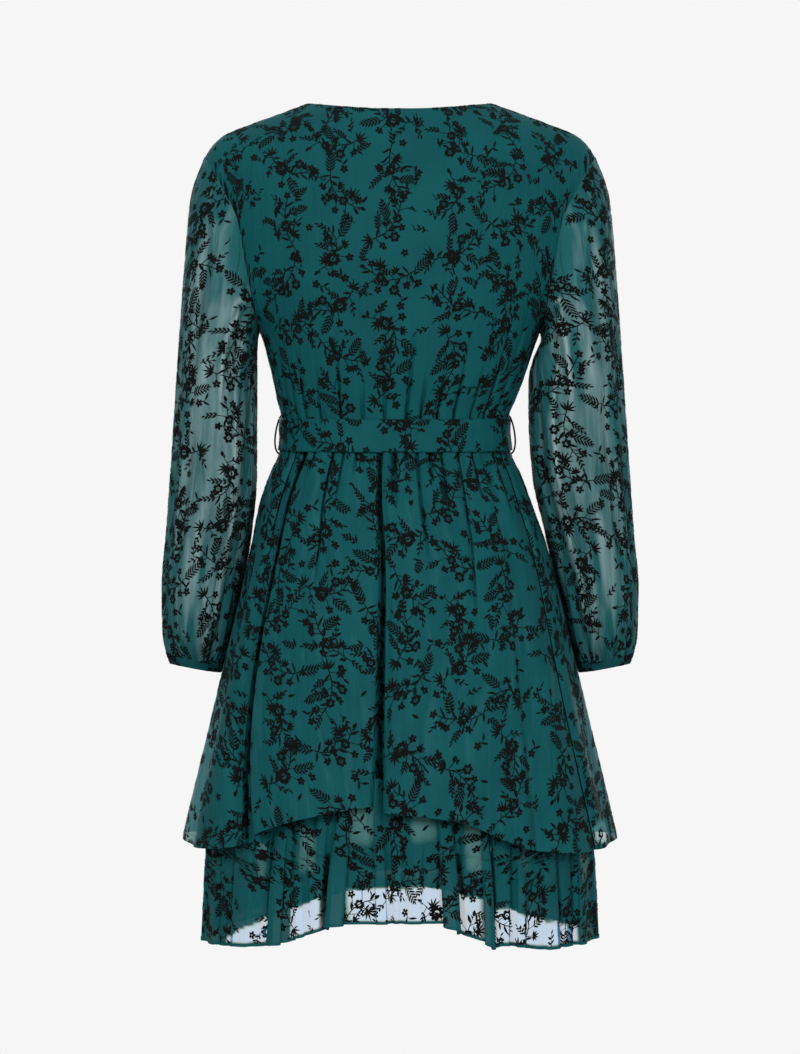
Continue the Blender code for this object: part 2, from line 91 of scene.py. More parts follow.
LINING_DENT = 0.0070        # how much deeper a wide slit presses it in
SLIT_SHARE = 0.62           # how much of a fold's depth its slit takes
SOFT_ROOM = 0.25            # share of the room before the lining that soft troughs may take
WIDE_SLIT = 3.0             # half width at the hem, in millimetres, over which a slit is wide
FOLD_LEAN = 0.30            # how far a wide slit slides aside for its depth
FOLD_RIDGE = 0.004          # most that the cloth rises beside a slit
ARMHOLE_BLEND = 0.30        # share of a sleeve that leads from the armhole's shape to its own
SLEEVE_RADIUS = 0.060       # mean, for laying it out flat
SLEEVE_GATHER = 0.0011      # height of the fine gathers over the cuff
CUFF_TUCK = 0.0007          # how far a cuff reaches up under the end of its sleeve
CUFF_DROP = 0.0110          # and how far down from there
CUFF_CRIMPS = 46.0          # waves of the elastic round a cuff
CUFF_CRIMP = 0.0003

# Cloth
FLOCK_LIFT = 0.00045        # the flock stands this far off the cloth
SEAM_TUCK = 0.004           # of a sleeve's edge under the bodice
SEAM_GAP = 0.0003           # between the panels at the waist and at an armhole
FULL_COVER = 0.985          # the most that one layer of chiffon covers
MM = 0.001

SECTION = "z half_width back front shift"
TORSO = table(
    SECTION,
    (-0.3900, 0.1265, 0.094, 0.094, 0.0055),
    (-0.3500, 0.1275, 0.096, 0.099, 0.0055),
    (-0.3300, 0.1335, 0.101, 0.107, 0.0040),
    (-0.3080, 0.1400, 0.106, 0.116, 0.0020),
    (-0.2540, 0.1570, 0.112, 0.128, 0.0),
    (-0.2130, 0.1810, 0.113, 0.126, 0.0),
    (-0.1710, 0.1930, 0.112, 0.117, 0.0),
    (-0.1340, 0.2010, 0.108, 0.105, 0.0),
    (-0.1040, 0.2150, 0.102, 0.096, 0.0),
    (-0.0590, 0.2420, 0.090, 0.084, 0.0),
    (0.0500, 0.2550, 0.074, 0.070, 0.0),
)
UPPER_TIER = table(
    SECTION,
    (-0.8400, 0.2480, 0.188, 0.184, 0.0),
    (-0.7600, 0.2292, 0.174, 0.170, 0.0),
    (-0.6900, 0.2122, 0.162, 0.158, 0.0),
    (-0.6070, 0.1925, 0.149, 0.146, 0.0),
    (-0.5500, 0.1790, 0.140, 0.138, 0.0),
    (-0.4980, 0.1664, 0.131, 0.130, 0.0010),
    (-0.4420, 0.1500, 0.120, 0.120, 0.0050),
    (-0.4090, 0.1375, 0.107, 0.107, 0.0055),
    (-0.3945, 0.1305, 0.098, 0.098, 0.0055),
    (-0.3685, 0.1268, 0.0943, 0.0943, 0.0055),
    (-0.3500, 0.1265, 0.0940, 0.0940, 0.0055),
)
LINING = table(
    SECTION,
    (-0.8350, 0.2095, 0.153, 0.151, 0.0),
    (-0.7770, 0.2030, 0.149, 0.147, 0.0),
    (-0.6840, 0.1900, 0.141, 0.139, 0.0),
    (-0.5730, 0.1720, 0.129, 0.127, 0.0),
    (-0.5100, 0.1570, 0.119, 0.118, 0.0010),
    (-0.4500, 0.1410, 0.109, 0.109, 0.0050),
    (-0.4090, 0.1305, 0.099, 0.099, 0.0055),
    (-0.3890, 0.1255, 0.094, 0.094, 0.0055),
    (-0.3500, 0.1246, 0.092, 0.092, 0.0055),
)
RUFFLE = table(
    SECTION,
    (-0.9400, 0.2225, 0.168, 0.166, 0.0),
    (-0.8800, 0.2195, 0.165, 0.163, 0.0),
    (-0.8300, 0.2165, 0.161, 0.159, 0.0),
    (-0.7800, 0.2085, 0.154, 0.152, 0.0),
    (-0.7420, 0.2000, 0.1482, 0.1462, 0.0),
)

EDGE = "deg z"
UPPER_HEM = table(
    EDGE,
    (0.0, -0.816), (24.0, -0.823), (42.0, -0.818), (52.0, -0.801),
    (64.0, -0.786), (76.0, -0.776), (84.0, -0.771), (86.0, -0.776),
    (95.0, -0.781), (105.0, -0.788), (115.0, -0.806), (126.0, -0.820),
    (145.0, -0.825), (180.0, -0.818), (215.0, -0.823), (240.0, -0.806),
    (270.0, -0.788), (300.0, -0.804), (328.0, -0.821), (360.0, -0.816),
)
RUFFLE_HEM = table(
    EDGE,
    (0.0, -0.931), (25.0, -0.930), (45.0, -0.926), (56.0, -0.921),
    (66.0, -0.909), (77.0, -0.897), (99.0, -0.896), (105.0, -0.907),
    (112.0, -0.917), (115.0, -0.925), (118.0, -0.922), (135.0, -0.929),
    (180.0, -0.927), (225.0, -0.925), (250.0, -0.904), (270.0, -0.893),
    (290.0, -0.904), (315.0, -0.925), (360.0, -0.931),
)

# Folds of the outer tier: angle at the waist and at the hem, how far the line between
# them bows round the body, half width of the soft trough on its two sides in degrees,
# depth at the waist and at the hem, half width of the slit that it closes to at the
# waist and at the hem (0 for a soft fold), all in millimetres, and the share of the
# drop between which it runs
UPPER_FOLDS = table(
    "top_deg hem_deg bow before after top_mm hem_mm slit hem_slit start end",
    (14.0, 18.0, -1.0, 6.0, 4.0, 3.0, 6.0, 0.0, 0.0, 0.10, 2.0),
    (25.0, 27.0, -3.0, 3.0, 3.0, 8.0, 4.0, 1.0, 0.8, 0.00, 0.17),
    (33.5, 36.5, -5.5, 2.5, 4.0, 9.0, 5.0, 1.1, 0.9, 0.00, 0.30),
    (41.8, 47.5, -9.5, 5.0, 2.4, 24.0, 60.0, 2.3, 7.0, 0.00, 2.0),
    (49.0, 53.5, -5.0, 2.0, 2.0, 9.0, 3.0, 1.0, 0.8, 0.00, 0.12),
    (60.6, 61.5, -1.0, 4.0, 6.0, 11.0, 8.0, 1.2, 0.8, 0.00, 0.42),
    (66.5, 66.5, -0.5, 2.0, 2.5, 9.0, 3.0, 1.0, 0.8, 0.00, 0.20),
    (73.0, 72.5, 0.0, 3.0, 5.0, 9.0, 5.0, 1.1, 0.8, 0.00, 0.13),
    (83.7, 84.8, 0.6, 8.5, 2.2, 36.0, 60.0, 2.0, 3.8, 0.00, 2.0),
    (89.5, 90.5, 0.4, 1.6, 1.6, 9.0, 2.0, 1.1, 0.8, 0.00, 0.22),
    (94.0, 95.0, 0.2, 1.6, 1.6, 8.0, 2.0, 0.9, 0.8, 0.00, 0.10),
    (99.0, 99.0, 0.0, 4.0, 2.5, 10.0, 5.0, 1.1, 0.8, 0.00, 0.36),
    (105.0, 103.5, -0.6, 2.0, 5.0, 9.0, 5.0, 1.1, 0.8, 0.00, 0.15),
    (111.5, 108.0, -1.6, 1.8, 1.8, 8.0, 2.0, 0.9, 0.8, 0.00, 0.24),
    (121.0, 115.5, -3.6, 1.8, 5.0, 9.0, 6.0, 1.2, 0.9, 0.00, 0.50),
    (129.5, 121.0, -1.8, 2.0, 3.0, 9.0, 3.0, 1.0, 0.8, 0.00, 0.18),
    (138.0, 127.0, -1.0, 2.2, 5.0, 5.0, 13.0, 0.0, 0.0, 0.00, 2.0),
    (147.5, 139.0, -3.0, 2.0, 3.0, 8.0, 6.0, 1.0, 0.8, 0.00, 0.24),
    (155.5, 151.0, -2.5, 5.0, 2.6, 8.0, 12.0, 1.0, 1.4, 0.00, 2.0),
    (166.0, 164.0, -1.0, 6.0, 6.0, 3.0, 5.0, 0.0, 0.0, 0.20, 2.0),
    (196.0, 199.0, 1.0, 4.0, 6.0, 6.0, 8.0, 1.0, 0.8, 0.00, 0.20),
    (206.0, 209.0, 2.0, 2.0, 2.0, 9.0, 3.0, 1.0, 0.8, 0.00, 0.26),
    (214.0, 220.0, 4.0, 4.0, 2.0, 15.0, 32.0, 1.4, 4.0, 0.00, 2.0),
    (226.0, 229.0, 2.0, 2.0, 3.0, 9.0, 3.0, 1.0, 0.8, 0.00, 0.13),
    (236.0, 238.0, 1.0, 3.0, 6.0, 11.0, 6.0, 1.1, 0.8, 0.00, 0.44),
    (243.0, 243.0, 0.5, 1.8, 1.8, 8.0, 3.0, 0.9, 0.7, 0.00, 0.10),
    (249.0, 247.0, 0.0, 2.0, 2.0, 9.0, 3.0, 1.0, 0.8, 0.00, 0.22),
    (258.0, 254.0, -1.0, 5.0, 2.5, 20.0, 36.0, 1.6, 5.0, 0.00, 2.0),
    (268.0, 269.0, 0.0, 2.0, 2.0, 9.0, 3.0, 1.0, 0.8, 0.00, 0.16),
    (274.5, 276.0, 0.4, 1.8, 1.8, 8.0, 3.0, 0.9, 0.7, 0.00, 0.11),
    (281.0, 283.0, 1.0, 2.5, 5.0, 11.0, 5.0, 1.1, 0.8, 0.00, 0.40),
    (289.0, 288.0, 0.6, 2.0, 2.0, 9.0, 3.0, 1.0, 0.8, 0.00, 0.14),
    (297.0, 293.0, 0.0, 1.8, 5.0, 9.0, 7.0, 1.2, 1.0, 0.00, 0.60),
    (307.0, 305.0, 0.6, 2.0, 3.0, 9.0, 3.0, 1.0, 0.8, 0.00, 0.24),
    (318.0, 316.0, 2.4, 2.0, 4.0, 12.0, 21.0, 1.2, 3.8, 0.00, 2.0),
    (330.0, 330.0, 2.0, 3.0, 3.0, 8.0, 4.0, 1.0, 0.8, 0.00, 0.18),
    (342.0, 340.0, 1.0, 6.0, 5.0, 3.0, 7.0, 0.0, 0.0, 0.10, 2.0),
)

# Flutes of the ruffle: angle, width in degrees, how far it stands out at the hem, how
# much its sides tuck under it, and how far it leans round the body from top to hem
FLUTES = table(
    "deg width stand_mm tuck lean",
    (9.0, 12.0, 4.0, 0.04, 0.0), (22.0, 9.0, 5.0, 0.08, 2.0),
    (40.0, 15.0, 4.0, 0.05, -2.0), (54.6, 8.0, 8.0, 0.16, -1.5),
    (63.0, 5.0, 3.0, 0.08, 3.0), (73.6, 8.5, 10.0, 0.17, -2.5),
    (86.0, 5.0, 4.0, 0.12, 1.5), (93.0, 6.0, 3.0, 0.08, -2.0),
    (102.6, 7.5, 9.0, 0.17, 2.0), (113.4, 5.0, 8.0, 0.16, 1.0),
    (124.0, 6.0, 5.0, 0.11, -2.0), (137.0, 11.0, 5.0, 0.07, 2.0),
    (153.0, 8.0, 6.0, 0.10, -1.5), (169.0, 14.0, 4.0, 0.05, 0.0),
    (188.0, 11.0, 5.0, 0.06, 0.0), (204.0, 10.0, 8.0, 0.13, 2.0),
    (222.0, 13.0, 5.0, 0.07, -2.0), (238.0, 8.0, 9.0, 0.15, 1.5),
    (249.0, 5.0, 6.0, 0.13, -1.0), (266.0, 12.0, 6.0, 0.08, 2.0),
    (285.0, 8.0, 9.0, 0.15, -2.0), (299.0, 6.0, 7.0, 0.12, 1.5),
    (318.0, 14.0, 7.0, 0.10, -2.0), (335.0, 8.0, 6.0, 0.10, 1.0),
    (351.0, 12.0, 5.0, 0.06, 0.0),
)

# Stretches of the ruffle where one sheer layer hangs ungathered: angles from and to,
# the share of its height where it begins at either, where it ends, and its cover, which
# also sets the painted light in its colour: the backdrop's light where it is thinnest
# and the lit lining behind where it is half open
THIN_PLACES = table(
    "low high low_share high_share end cover",
    (31.0, 51.4, 0.955, 0.825, 2.0, 0.46), (59.6, 68.8, 0.800, 0.775, 2.0, 0.45),
    (77.8, 99.4, 0.752, 0.742, 2.0, 0.45), (105.8, 111.0, 0.740, 0.735, 2.0, 0.48),
    (116.2, 150.0, 0.765, 0.88, 2.0, 0.46), (77.0, 84.0, 0.0, 0.0, 0.54, 0.70),
    (92.0, 98.6, 0.0, 0.0, 0.52, 0.70), (107.0, 112.0, 0.22, 0.28, 0.68, 0.66),
    (62.0, 67.5, 0.28, 0.36, 0.68, 0.68), (18.0, 30.0, 0.2, 0.3, 0.80, 0.88),
    (46.5, 50.0, 0.36, 0.42, 0.70, 0.74), (153.0, 164.0, 0.15, 0.22, 0.74, 0.72),
    (125.0, 128.0, 0.30, 0.36, 0.66, 0.74), (262.0, 272.0, 0.0, 0.0, 0.60, 0.74),
    (209.0, 233.0, 0.93, 0.86, 2.0, 0.50), (252.5, 281.0, 0.86, 0.87, 2.0, 0.46),
    (289.0, 295.0, 0.88, 0.88, 2.0, 0.50), (303.0, 330.0, 0.90, 0.95, 2.0, 0.50),
)

# Line of a belt loop: height, and how far it stands out from the side of the dress
LOOP_LINE = table(
    "z out",
    (-0.3478, -0.0004), (-0.3500, 0.0010), (-0.3560, 0.0030),
    (-0.3660, 0.0050), (-0.3760, 0.0057), (-0.3835, 0.0048),
    (-0.3885, 0.0026), (-0.3912, -0.0004),
)
LOOP_RADIUS = 0.0010

# Gathers above the waist: angle, how far each climbs, its depth and half width
GATHERS = table(
    "deg rise mm width",
    (14.0, 0.090, 6.1, 2.1), (24.0, 0.140, 5.0, 2.1), (32.4, 0.105, 6.6, 1.6),
    (41.0, 0.090, 6.1, 1.4), (52.0, 0.068, 4.1, 1.7), (64.4, 0.110, 4.6, 1.2),
    (76.0, 0.061, 3.6, 1.7), (86.0, 0.084, 3.7, 1.6), (94.3, 0.128, 5.5, 1.3),
    (100.9, 0.068, 5.5, 1.3), (109.0, 0.068, 4.7, 1.3), (118.3, 0.090, 6.1, 1.4),
    (129.0, 0.076, 4.3, 1.7), (139.5, 0.121, 6.6, 1.7), (150.0, 0.140, 6.1, 1.9),
    (163.0, 0.105, 6.1, 2.1), (197.0, 0.105, 6.1, 2.1), (209.0, 0.136, 6.6, 1.9),
    (221.0, 0.090, 5.0, 1.6), (233.0, 0.121, 6.1, 1.7), (243.0, 0.076, 5.0, 1.4),
    (252.0, 0.140, 6.6, 1.6), (263.0, 0.084, 4.7, 1.4), (272.0, 0.121, 5.5, 1.4),
    (281.0, 0.076, 5.0, 1.6), (291.0, 0.140, 6.6, 1.6), (302.0, 0.090, 5.5, 1.7),
    (314.0, 0.128, 6.1, 1.7), (326.0, 0.090, 5.5, 1.9), (341.0, 0.121, 6.1, 2.1),
)

ARMHOLE = table(
    "z x",
    (-0.2540, 0.1570),
    (-0.2130, 0.1645),
    (-0.1710, 0.1722),
    (-0.1340, 0.1790),
    (-0.1040, 0.1930),
    (-0.0750, 0.2085),
    (-0.0590, 0.2184),
)

SLEEVE = table(
    "outer_x outer_z inner_x inner_z depth y near",
    (0.2184, -0.0590, 0.1570, -0.2540, 0.056, 0.000, 0.0),
    (0.2335, -0.1030, 0.1592, -0.2640, 0.062, 0.000, 0.0014),
    (0.2405, -0.1740, 0.1598, -0.2840, 0.064, -0.001, 0.0105),
    (0.2455, -0.2400, 0.1598, -0.3120, 0.062, -0.003, 0.0162),
    (0.2508, -0.3140, 0.1600, -0.3580, 0.059, -0.006, 0.0158),
    (0.2566, -0.3960, 0.1606, -0.4180, 0.057, -0.011, 0.0116),
    (0.2624, -0.4720, 0.1668, -0.4800, 0.055, -0.018, 0.0038),
    (0.2686, -0.5420, 0.1785, -0.5480, 0.053, -0.026, 0.0),
    (0.2672, -0.5930, 0.1898, -0.6000, 0.045, -0.030, 0.0),
    (0.2622, -0.6160, 0.1990, -0.6260, 0.029, -0.031, 0.0),
)

# Folds of the sleeves: turn round the arm at the fold's top and foot (0 outside,
# 90 behind, 180 at the body), where it starts and ends as a share of the length,
# its half width in degrees and its height in millimetres, less than 0 for a trough
CREASES = table(
    "top_turn end_turn start end width mm",
    (62.0, 50.0, 0.08, 0.80, 8.0, -4.5),
    (112.0, 82.0, 0.10, 0.62, 7.0, 3.6),
    (134.0, 118.0, 0.03, 0.42, 7.0, -4.6),
    (152.0, 126.0, 0.35, 0.95, 8.0, -4.4),
    (100.0, 68.0, 0.60, 1.00, 7.0, -4.2),
    (30.0, 24.0, 0.30, 1.00, 8.0, -3.4),
    (80.0, 104.0, 0.66, 1.00, 6.0, 3.2),
    (118.0, 130.0, 0.80, 1.00, 5.0, -3.0),
    (50.0, 44.0, 0.82, 1.00, 5.0, -3.0),
    (235.0, 250.0, 0.08, 0.60, 9.0, -4.4),
    (280.0, 262.0, 0.30, 0.95, 8.0, -4.2),
    (310.0, 325.0, 0.10, 0.70, 8.0, -4.0),
    (205.0, 215.0, 0.50, 1.00, 8.0, -3.8),
    (260.0, 290.0, 0.72, 1.00, 6.0, 3.0),
)

# Pale streaks of the sleeves, where one layer stands off and light comes through:
# thinner cloth, and painted highlights where its colour is painted paler.  Placed as
# the folds are, with a half width in degrees and how much cover they lose
STREAKS = table(
    "top_turn end_turn start end width pale",
    (122.0, 100.0, 0.14, 0.50, 1.9, 0.24),
    (112.0, 116.0, 0.30, 0.66, 1.7, 0.19),
    (132.0, 108.0, 0.06, 0.26, 1.8, 0.17),
    (86.0, 80.0, 0.20, 0.48, 3.4, 0.06),
    (96.0, 124.0, 0.44, 0.58, 2.2, 0.14),
    (66.0, 58.0, 0.05, 0.34, 5.0, 0.05),
    (74.0, 80.0, 0.62, 0.94, 3.4, 0.06),
    (92.0, 104.0, 0.74, 0.98, 2.0, 0.10),
    (130.0, 124.0, 0.60, 0.90, 2.4, 0.10),
    (240.0, 262.0, 0.12, 0.62, 2.2, 0.20),
    (252.0, 248.0, 0.40, 0.80, 2.0, 0.14),
    (282.0, 276.0, 0.55, 0.94, 3.6, 0.07),
)


# --- Curves and rings -------------------------------------------------------

def smoothstep(value):
    """Ease from 0 to 1 as value runs from 0 to 1."""
    step = np.clip(value, 0.0, 1.0)
    return step * step * (3.0 - 2.0 * step)


def bell(away, width, power=2):
    """Gaussian bump: 1 in its middle, and 1/e at its width on either side.  With a
    higher power its top is flatter and its sides are steeper."""
    return np.exp(-(away / width) ** power)


def sin_deg(deg):
    """Sine of an angle in degrees."""
    return np.sin(np.radians(deg))


def cos_deg(deg):
    """Cosine of an angle in degrees."""
    return np.cos(np.radians(deg))


def squared_off(value):
    """A sine or cosine, raised to the power that turns a circle into the rings' shape."""
    return np.sign(value) * np.abs(value) ** (2.0 / ROUND)


def cubic(places, values, at):
    """Cubic Hermite curve through (places, values) that never overshoots them."""
    places = np.asarray(places, float)
    values = np.asarray(values, float)
    rise = np.diff(values) / np.diff(places)
    both = rise[:-1] * rise[1:]
    total = np.where(both > 0.0, rise[:-1] + rise[1:], 1.0)
    inner = np.where(both > 0.0, 2.0 * both / total, 0.0)
    slopes = np.concatenate([rise[:1], inner, rise[-1:]])
    at = np.asarray(at, float)
    low = np.clip(np.searchsorted(places, at) - 1, 0, len(places) - 2)
    span = places[low + 1] - places[low]
    t = np.clip((at - places[low]) / span, 0.0, 1.0)
    t2 = t * t
    t3 = t2 * t
    return ((2 * t3 - 3 * t2 + 1) * values[low] + (t3 - 2 * t2 + t) * span * slopes[low]
            + (3 * t2 - 2 * t3) * values[low + 1] + (t3 - t2) * span * slopes[low + 1])


def read(table, key, column, at):
    """Read one column of a table against another, as a smooth curve."""
    rows = sorted(table, key=lambda row: getattr(row, key))
    return cubic([getattr(row, key) for row in rows], [getattr(row, column) for row in rows], at)


def turned(deg, centre):
    """Signed angle from centre to deg, from -180 to 180."""
    return (deg - centre + 180.0) % 360.0 - 180.0


def ring_point(sections, deg, z):
    """Point and outward direction on a table's superellipse ring at an angle and height."""
    width = read(sections, "z", "half_width", z)
    behind = sin_deg(deg) >= 0.0
    depth = np.where(behind, read(sections, "z", "back", z), read(sections, "z", "front", z))
    across = squared_off(cos_deg(deg))
    along = squared_off(sin_deg(deg))
    out_x = across / width
    out_y = along / depth
    size = np.hypot(out_x, out_y)
    x = width * across + read(sections, "z", "shift", z)
    return x, depth * along, out_x / size, out_y / size


def waist_height(deg):
    """Height of the waist seam, lower at the back than at the front."""
    return WAIST_Z - WAIST_TILT * sin_deg(deg)


def even_out(weights, count):
    """Places from 0 to 1, count + 1 of them, packed closer where weights are larger."""
    total = np.concatenate([[0.0], np.cumsum((weights[1:] + weights[:-1]) / 2)])
    shares = np.linspace(0.0, 1.0, len(weights))
    return np.interp(np.linspace(0.0, total[-1], count + 1), total, shares)


# --- Grids of cloth ---------------------------------------------------------

def grid_slopes(points):
    """The column direction crossed with the row direction at each grid point, and
    whether these mostly face away from the middle of their rows."""
    crossed = np.cross(np.gradient(points, axis=0), np.gradient(points, axis=1))
    outward = points - points.mean(axis=1, keepdims=True)
    return crossed, np.sum(crossed * outward) > 0.0


def grid_normals(points):
    """Unit normal at each grid point, facing outwards."""
    crossed, faces_out = grid_slopes(points)
    normal = crossed / np.maximum(np.linalg.norm(crossed, axis=-1, keepdims=True), 1e-12)
    return normal if faces_out else -normal


def flat_places(points, from_foot=False):
    """Flat place of each grid point: length along its row from the middle column,
    and length down its column from the top, or from the foot if from_foot."""
    over = np.linalg.norm(np.diff(points, axis=1), axis=-1)
    across = np.concatenate([np.zeros((len(over), 1)), np.cumsum(over, axis=1)], axis=1)
    across -= across[:, [points.shape[1] // 2]]
    step = np.linalg.norm(np.diff(points, axis=0), axis=-1)
    down = np.concatenate([np.zeros((1, step.shape[1])), np.cumsum(step, axis=0)], axis=0)
    if from_foot:
        down -= down[-1]
    return np.stack([across, down], axis=-1)


def put_mesh(name, vertices, faces, material, uv=None, cover=None):
    """Object of a mesh from arrays; uv and cover hold one value for each vertex."""
    mesh = bpy.data.meshes.new(name)
    mesh.from_pydata(vertices.tolist(), [], faces.tolist())
    corners = np.empty(len(mesh.loops), int)
    mesh.loops.foreach_get("vertex_index", corners)
    if uv is not None:
        layer = mesh.uv_layers.new(name="flat")
        layer.data.foreach_set("uv", uv[corners].astype(np.float32).ravel())
    if cover is not None:
        held = mesh.attributes.new("cover", "FLOAT", "POINT")
        held.data.foreach_set("value", cover.astype(np.float32).ravel())
    mesh.shade_smooth()
    mesh.materials.append(material)
    piece = bpy.data.objects.new(name, mesh)
    bpy.context.scene.collection.objects.link(piece)
    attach(piece, "root")
    return piece


def grid_faces(points):
    """Quads of a grid, wound so that they face away from the middle of their rows."""
    rows, columns = points.shape[:2]
    index = np.arange(rows * columns).reshape(rows, columns)
    quads = np.stack([index[:-1, :-1], index[1:, :-1], index[1:, 1:], index[:-1, 1:]], axis=-1)
    quads = quads.reshape(-1, 4)
    return quads if grid_slopes(points)[1] else quads[:, ::-1]


def lay_cloth(name, points, flat, material, cover=None):
    """One layer of cloth on a grid of points, with its flat places as its UV map."""
    thin = None if cover is None else np.broadcast_to(cover, points.shape[:2]).reshape(-1)
    return put_mesh(name, points.reshape(-1, 3), grid_faces(points), material,
                    flat.reshape(-1, 2), thin)


# --- Bodice -----------------------------------------------------------------

def ridge_height(x):
    """Height of the shoulder seam's line at x: a slope with a cubic bend at its end."""
    out = np.abs(x)
    bend = (SHOULDER_SLOPE * (SHOULDER_X - NECK_HALF) + SHOULDER_Z) / (
        (SHOULDER_X - ROUND_OFF_X) ** 3)
    return (NECK_HALF - out) * SHOULDER_SLOPE + bend * np.maximum(out - ROUND_OFF_X, 0.0) ** 3


def torso_depth(x, z, share, half):
    """Depth of the bodice behind (half +1) or before (-1) the shoulder line: the
    section's depth on its superellipse, times a quarter circle at the shoulder."""
    depth = read(TORSO, "z", "back" if half > 0 else "front", z)
    crown = np.clip((ridge_height(x) - z) / SHOULDER_CROWN, 0.0, 1.0)
    rounding = np.sqrt(1.0 - (1.0 - crown) ** 2)
    return half * depth * (1.0 - np.clip(share, 0.0, 1.0) ** ROUND) ** (1.0 / ROUND) * rounding


def gather_relief(deg, height):
    """Gathers over the waist: soft troughs, each closing to a slit, as a wide and a
    narrow Gaussian section that die out upwards."""
    relief = np.zeros(np.broadcast(deg, height).shape)
    above = height - SASH_HEIGHT / 2
    for gather in GATHERS:
        away = turned(deg, gather.deg + (gather.deg % 180.0 - 90.0) * above * 0.25)
        begin = smoothstep(above / 0.006 + 1.0)
        fade = smoothstep(1.0 - above / gather.rise)
        narrow = gather.width * (1.0 + 0.8 * np.clip(above / gather.rise, 0.0, 1.0))
        section = 1.2 * bell(away, 0.40 * narrow) + 0.3 * bell(away, 1.7 * narrow)
        relief -= gather.mm * MM * section * begin * fade
    return relief


def bodice_points(half):
    """Grid of one half of the bodice.  A row is the section's superellipse scaled to
    the armhole's or side seam's x; a column runs from the shoulder to the waist."""
    ring = np.linspace(0.0, 180.0, 721)
    speed = np.hypot(np.gradient(cos_deg(ring) * 0.20), np.gradient(sin_deg(ring) * 0.11))
    extra = sum(bell(turned(ring, g.deg if half > 0 else -g.deg), g.width) for g in GATHERS)
    deg = 180.0 * even_out(speed / speed.mean() + 3.0 * extra, 300)
    side = squared_off(cos_deg(deg))
    bottom = waist_height(deg * half) + SEAM_GAP / 2

    share = np.linspace(0.0, 1.0, 121)
    bend = 0.2                  # the rows lie closer over the shoulder, on a hyperbola
    drop = np.hypot(bend, share * math.sqrt(1.0 + 2.0 * bend)) - bend
    edge_z = SHOULDER_Z + (WAIST_Z - SHOULDER_Z) * drop
    band_z = WAIST_Z + SASH_COVER
    rise = np.clip((edge_z - band_z) / (SHOULDER_Z - band_z), 0.0, 1.0)[:, None]
    low = np.minimum(edge_z - band_z, 0.0)[:, None]
    torso_x = read(TORSO, "z", "half_width", edge_z)
    edge_x = np.where(edge_z < UNDERARM_Z, torso_x, read(ARMHOLE, "z", "x", edge_z))

    top_x = side * SHOULDER_X
    inside = np.clip(np.abs(top_x) / NECK_HALF, 0.0, 1.0)
    if half > 0:
        neck = -BACK_NECK_DIP * (1.0 - inside ** 2)
    else:
        neck = -FRONT_NECK_DROP * (1.0 - inside ** 1.5)
    top = np.where(np.abs(top_x) < NECK_HALF, neck, ridge_height(top_x))

    base = bottom + SASH_COVER
    z = base + (top - base) * rise + low
    x = side[None, :] * edge_x[:, None]
    y = torso_depth(x, z, np.abs(side) * (edge_x / torso_x)[:, None], half)
    swell = gather_relief(deg * half % 360.0, z - bottom[None, :])
    y += half * swell * (1.0 - np.abs(side[None, :]) ** 6)
    x += read(TORSO, "z", "shift", z) + side[None, :] * swell * np.abs(side[None, :])
    return np.stack([x, y, z], axis=-1)


# --- Skirt ------------------------------------------------------------------

def half_grid(start, weights, columns, rows, spread=1.0):
    """Angles of the columns over a half turn and shares of the rows, 0 at the top."""
    deg = start + 180.0 * even_out(weights(np.linspace(start, start + 180.0, 1441)), columns)
    share = np.linspace(0.0, 1.0, rows + 1) ** spread
    return deg[None, :], share[:, None]


def fold_line(fold, share):
    """Angle of a fold by its share of the drop: a straight run and a sine bow."""
    return fold.top_deg + (fold.hem_deg - fold.top_deg) * share + fold.bow * np.sin(math.pi * share)


def fold_relief(deg, share, radius):
    """Depth of the outer tier's soft troughs, with Gaussian sections; depth of the
    slits in their middle, less a low ridge on their crisper side; and how far a wide
    slit slides under that side.  A slit's section is Gaussian too, or for the widest
    the exponential of a sixth power.  All grow from their start and fade past their
    end, and a slit's half width grows as the square of the share to the hem."""
    soft = np.zeros(np.broadcast(deg, share).shape)
    slit = np.zeros(soft.shape)
    slide = np.zeros(soft.shape)
    for fold in UPPER_FOLDS:
        away = turned(deg, fold_line(fold, share))
        depth = (fold.top_mm + (fold.hem_mm - fold.top_mm) * share) * MM
        run = smoothstep((share - fold.start) / 0.04) * smoothstep(
            (fold.end - share) / (0.05 + 0.25 * min(fold.end, 1.0)))
        width = np.where(away < 0.0, fold.before, fold.after)
        closed = SLIT_SHARE if fold.slit > 0.0 else 0.0
        soft += (1.0 - closed) * depth * run * bell(away, width)
        if fold.slit > 0.0:
            half = (fold.slit + (fold.hem_slit - fold.slit) * share ** 2) * MM
            wide = fold.hem_slit > WIDE_SLIT
            section = bell(np.radians(away) * radius, half, 6 if wide else 2)
            cut = closed * depth * run * section
            side = math.copysign(1.0, fold.before - fold.after)
            crisp = side * min(fold.before, fold.after)
            slide += FOLD_LEAN * wide * side * cut
            ridge = np.minimum(0.16 * depth, FOLD_RIDGE) * run * bell(away - crisp, crisp)
            facing = np.clip(2.5 * np.abs(sin_deg(deg)) - 1.2, 0.0, 1.0)
            slit += cut - ridge * facing
    return soft, slit, slide


def lining_tuck(deg, z):
    """How far the lining is drawn in: evenly under the folds of the outer tier, and by
    a Gaussian dent behind each of its wide slits."""
    drop = np.clip((WAIST_Z - z) / (WAIST_Z - LINING_HEM), 0.0, 1.0)
    tuck = LINING_TUCK * smoothstep(drop / 0.03)
    for fold in UPPER_FOLDS:
        if fold.hem_slit > WIDE_SLIT:
            away = turned(deg, fold_line(fold, drop))
            tuck = tuck + LINING_DENT * smoothstep(drop / 0.08) * bell(away, 7.0)
    return tuck * smoothstep((1.0 - drop) / 0.1)


def fold_weights(deg):
    """More columns near the folds of the outer tier, at their angle at the waist."""
    dense = np.ones_like(deg)
    for fold in UPPER_FOLDS:
        dense += (5.0 if fold.slit > 0.0 else 1.0) * bell(turned(deg, fold.top_deg), 1.5)
    return dense


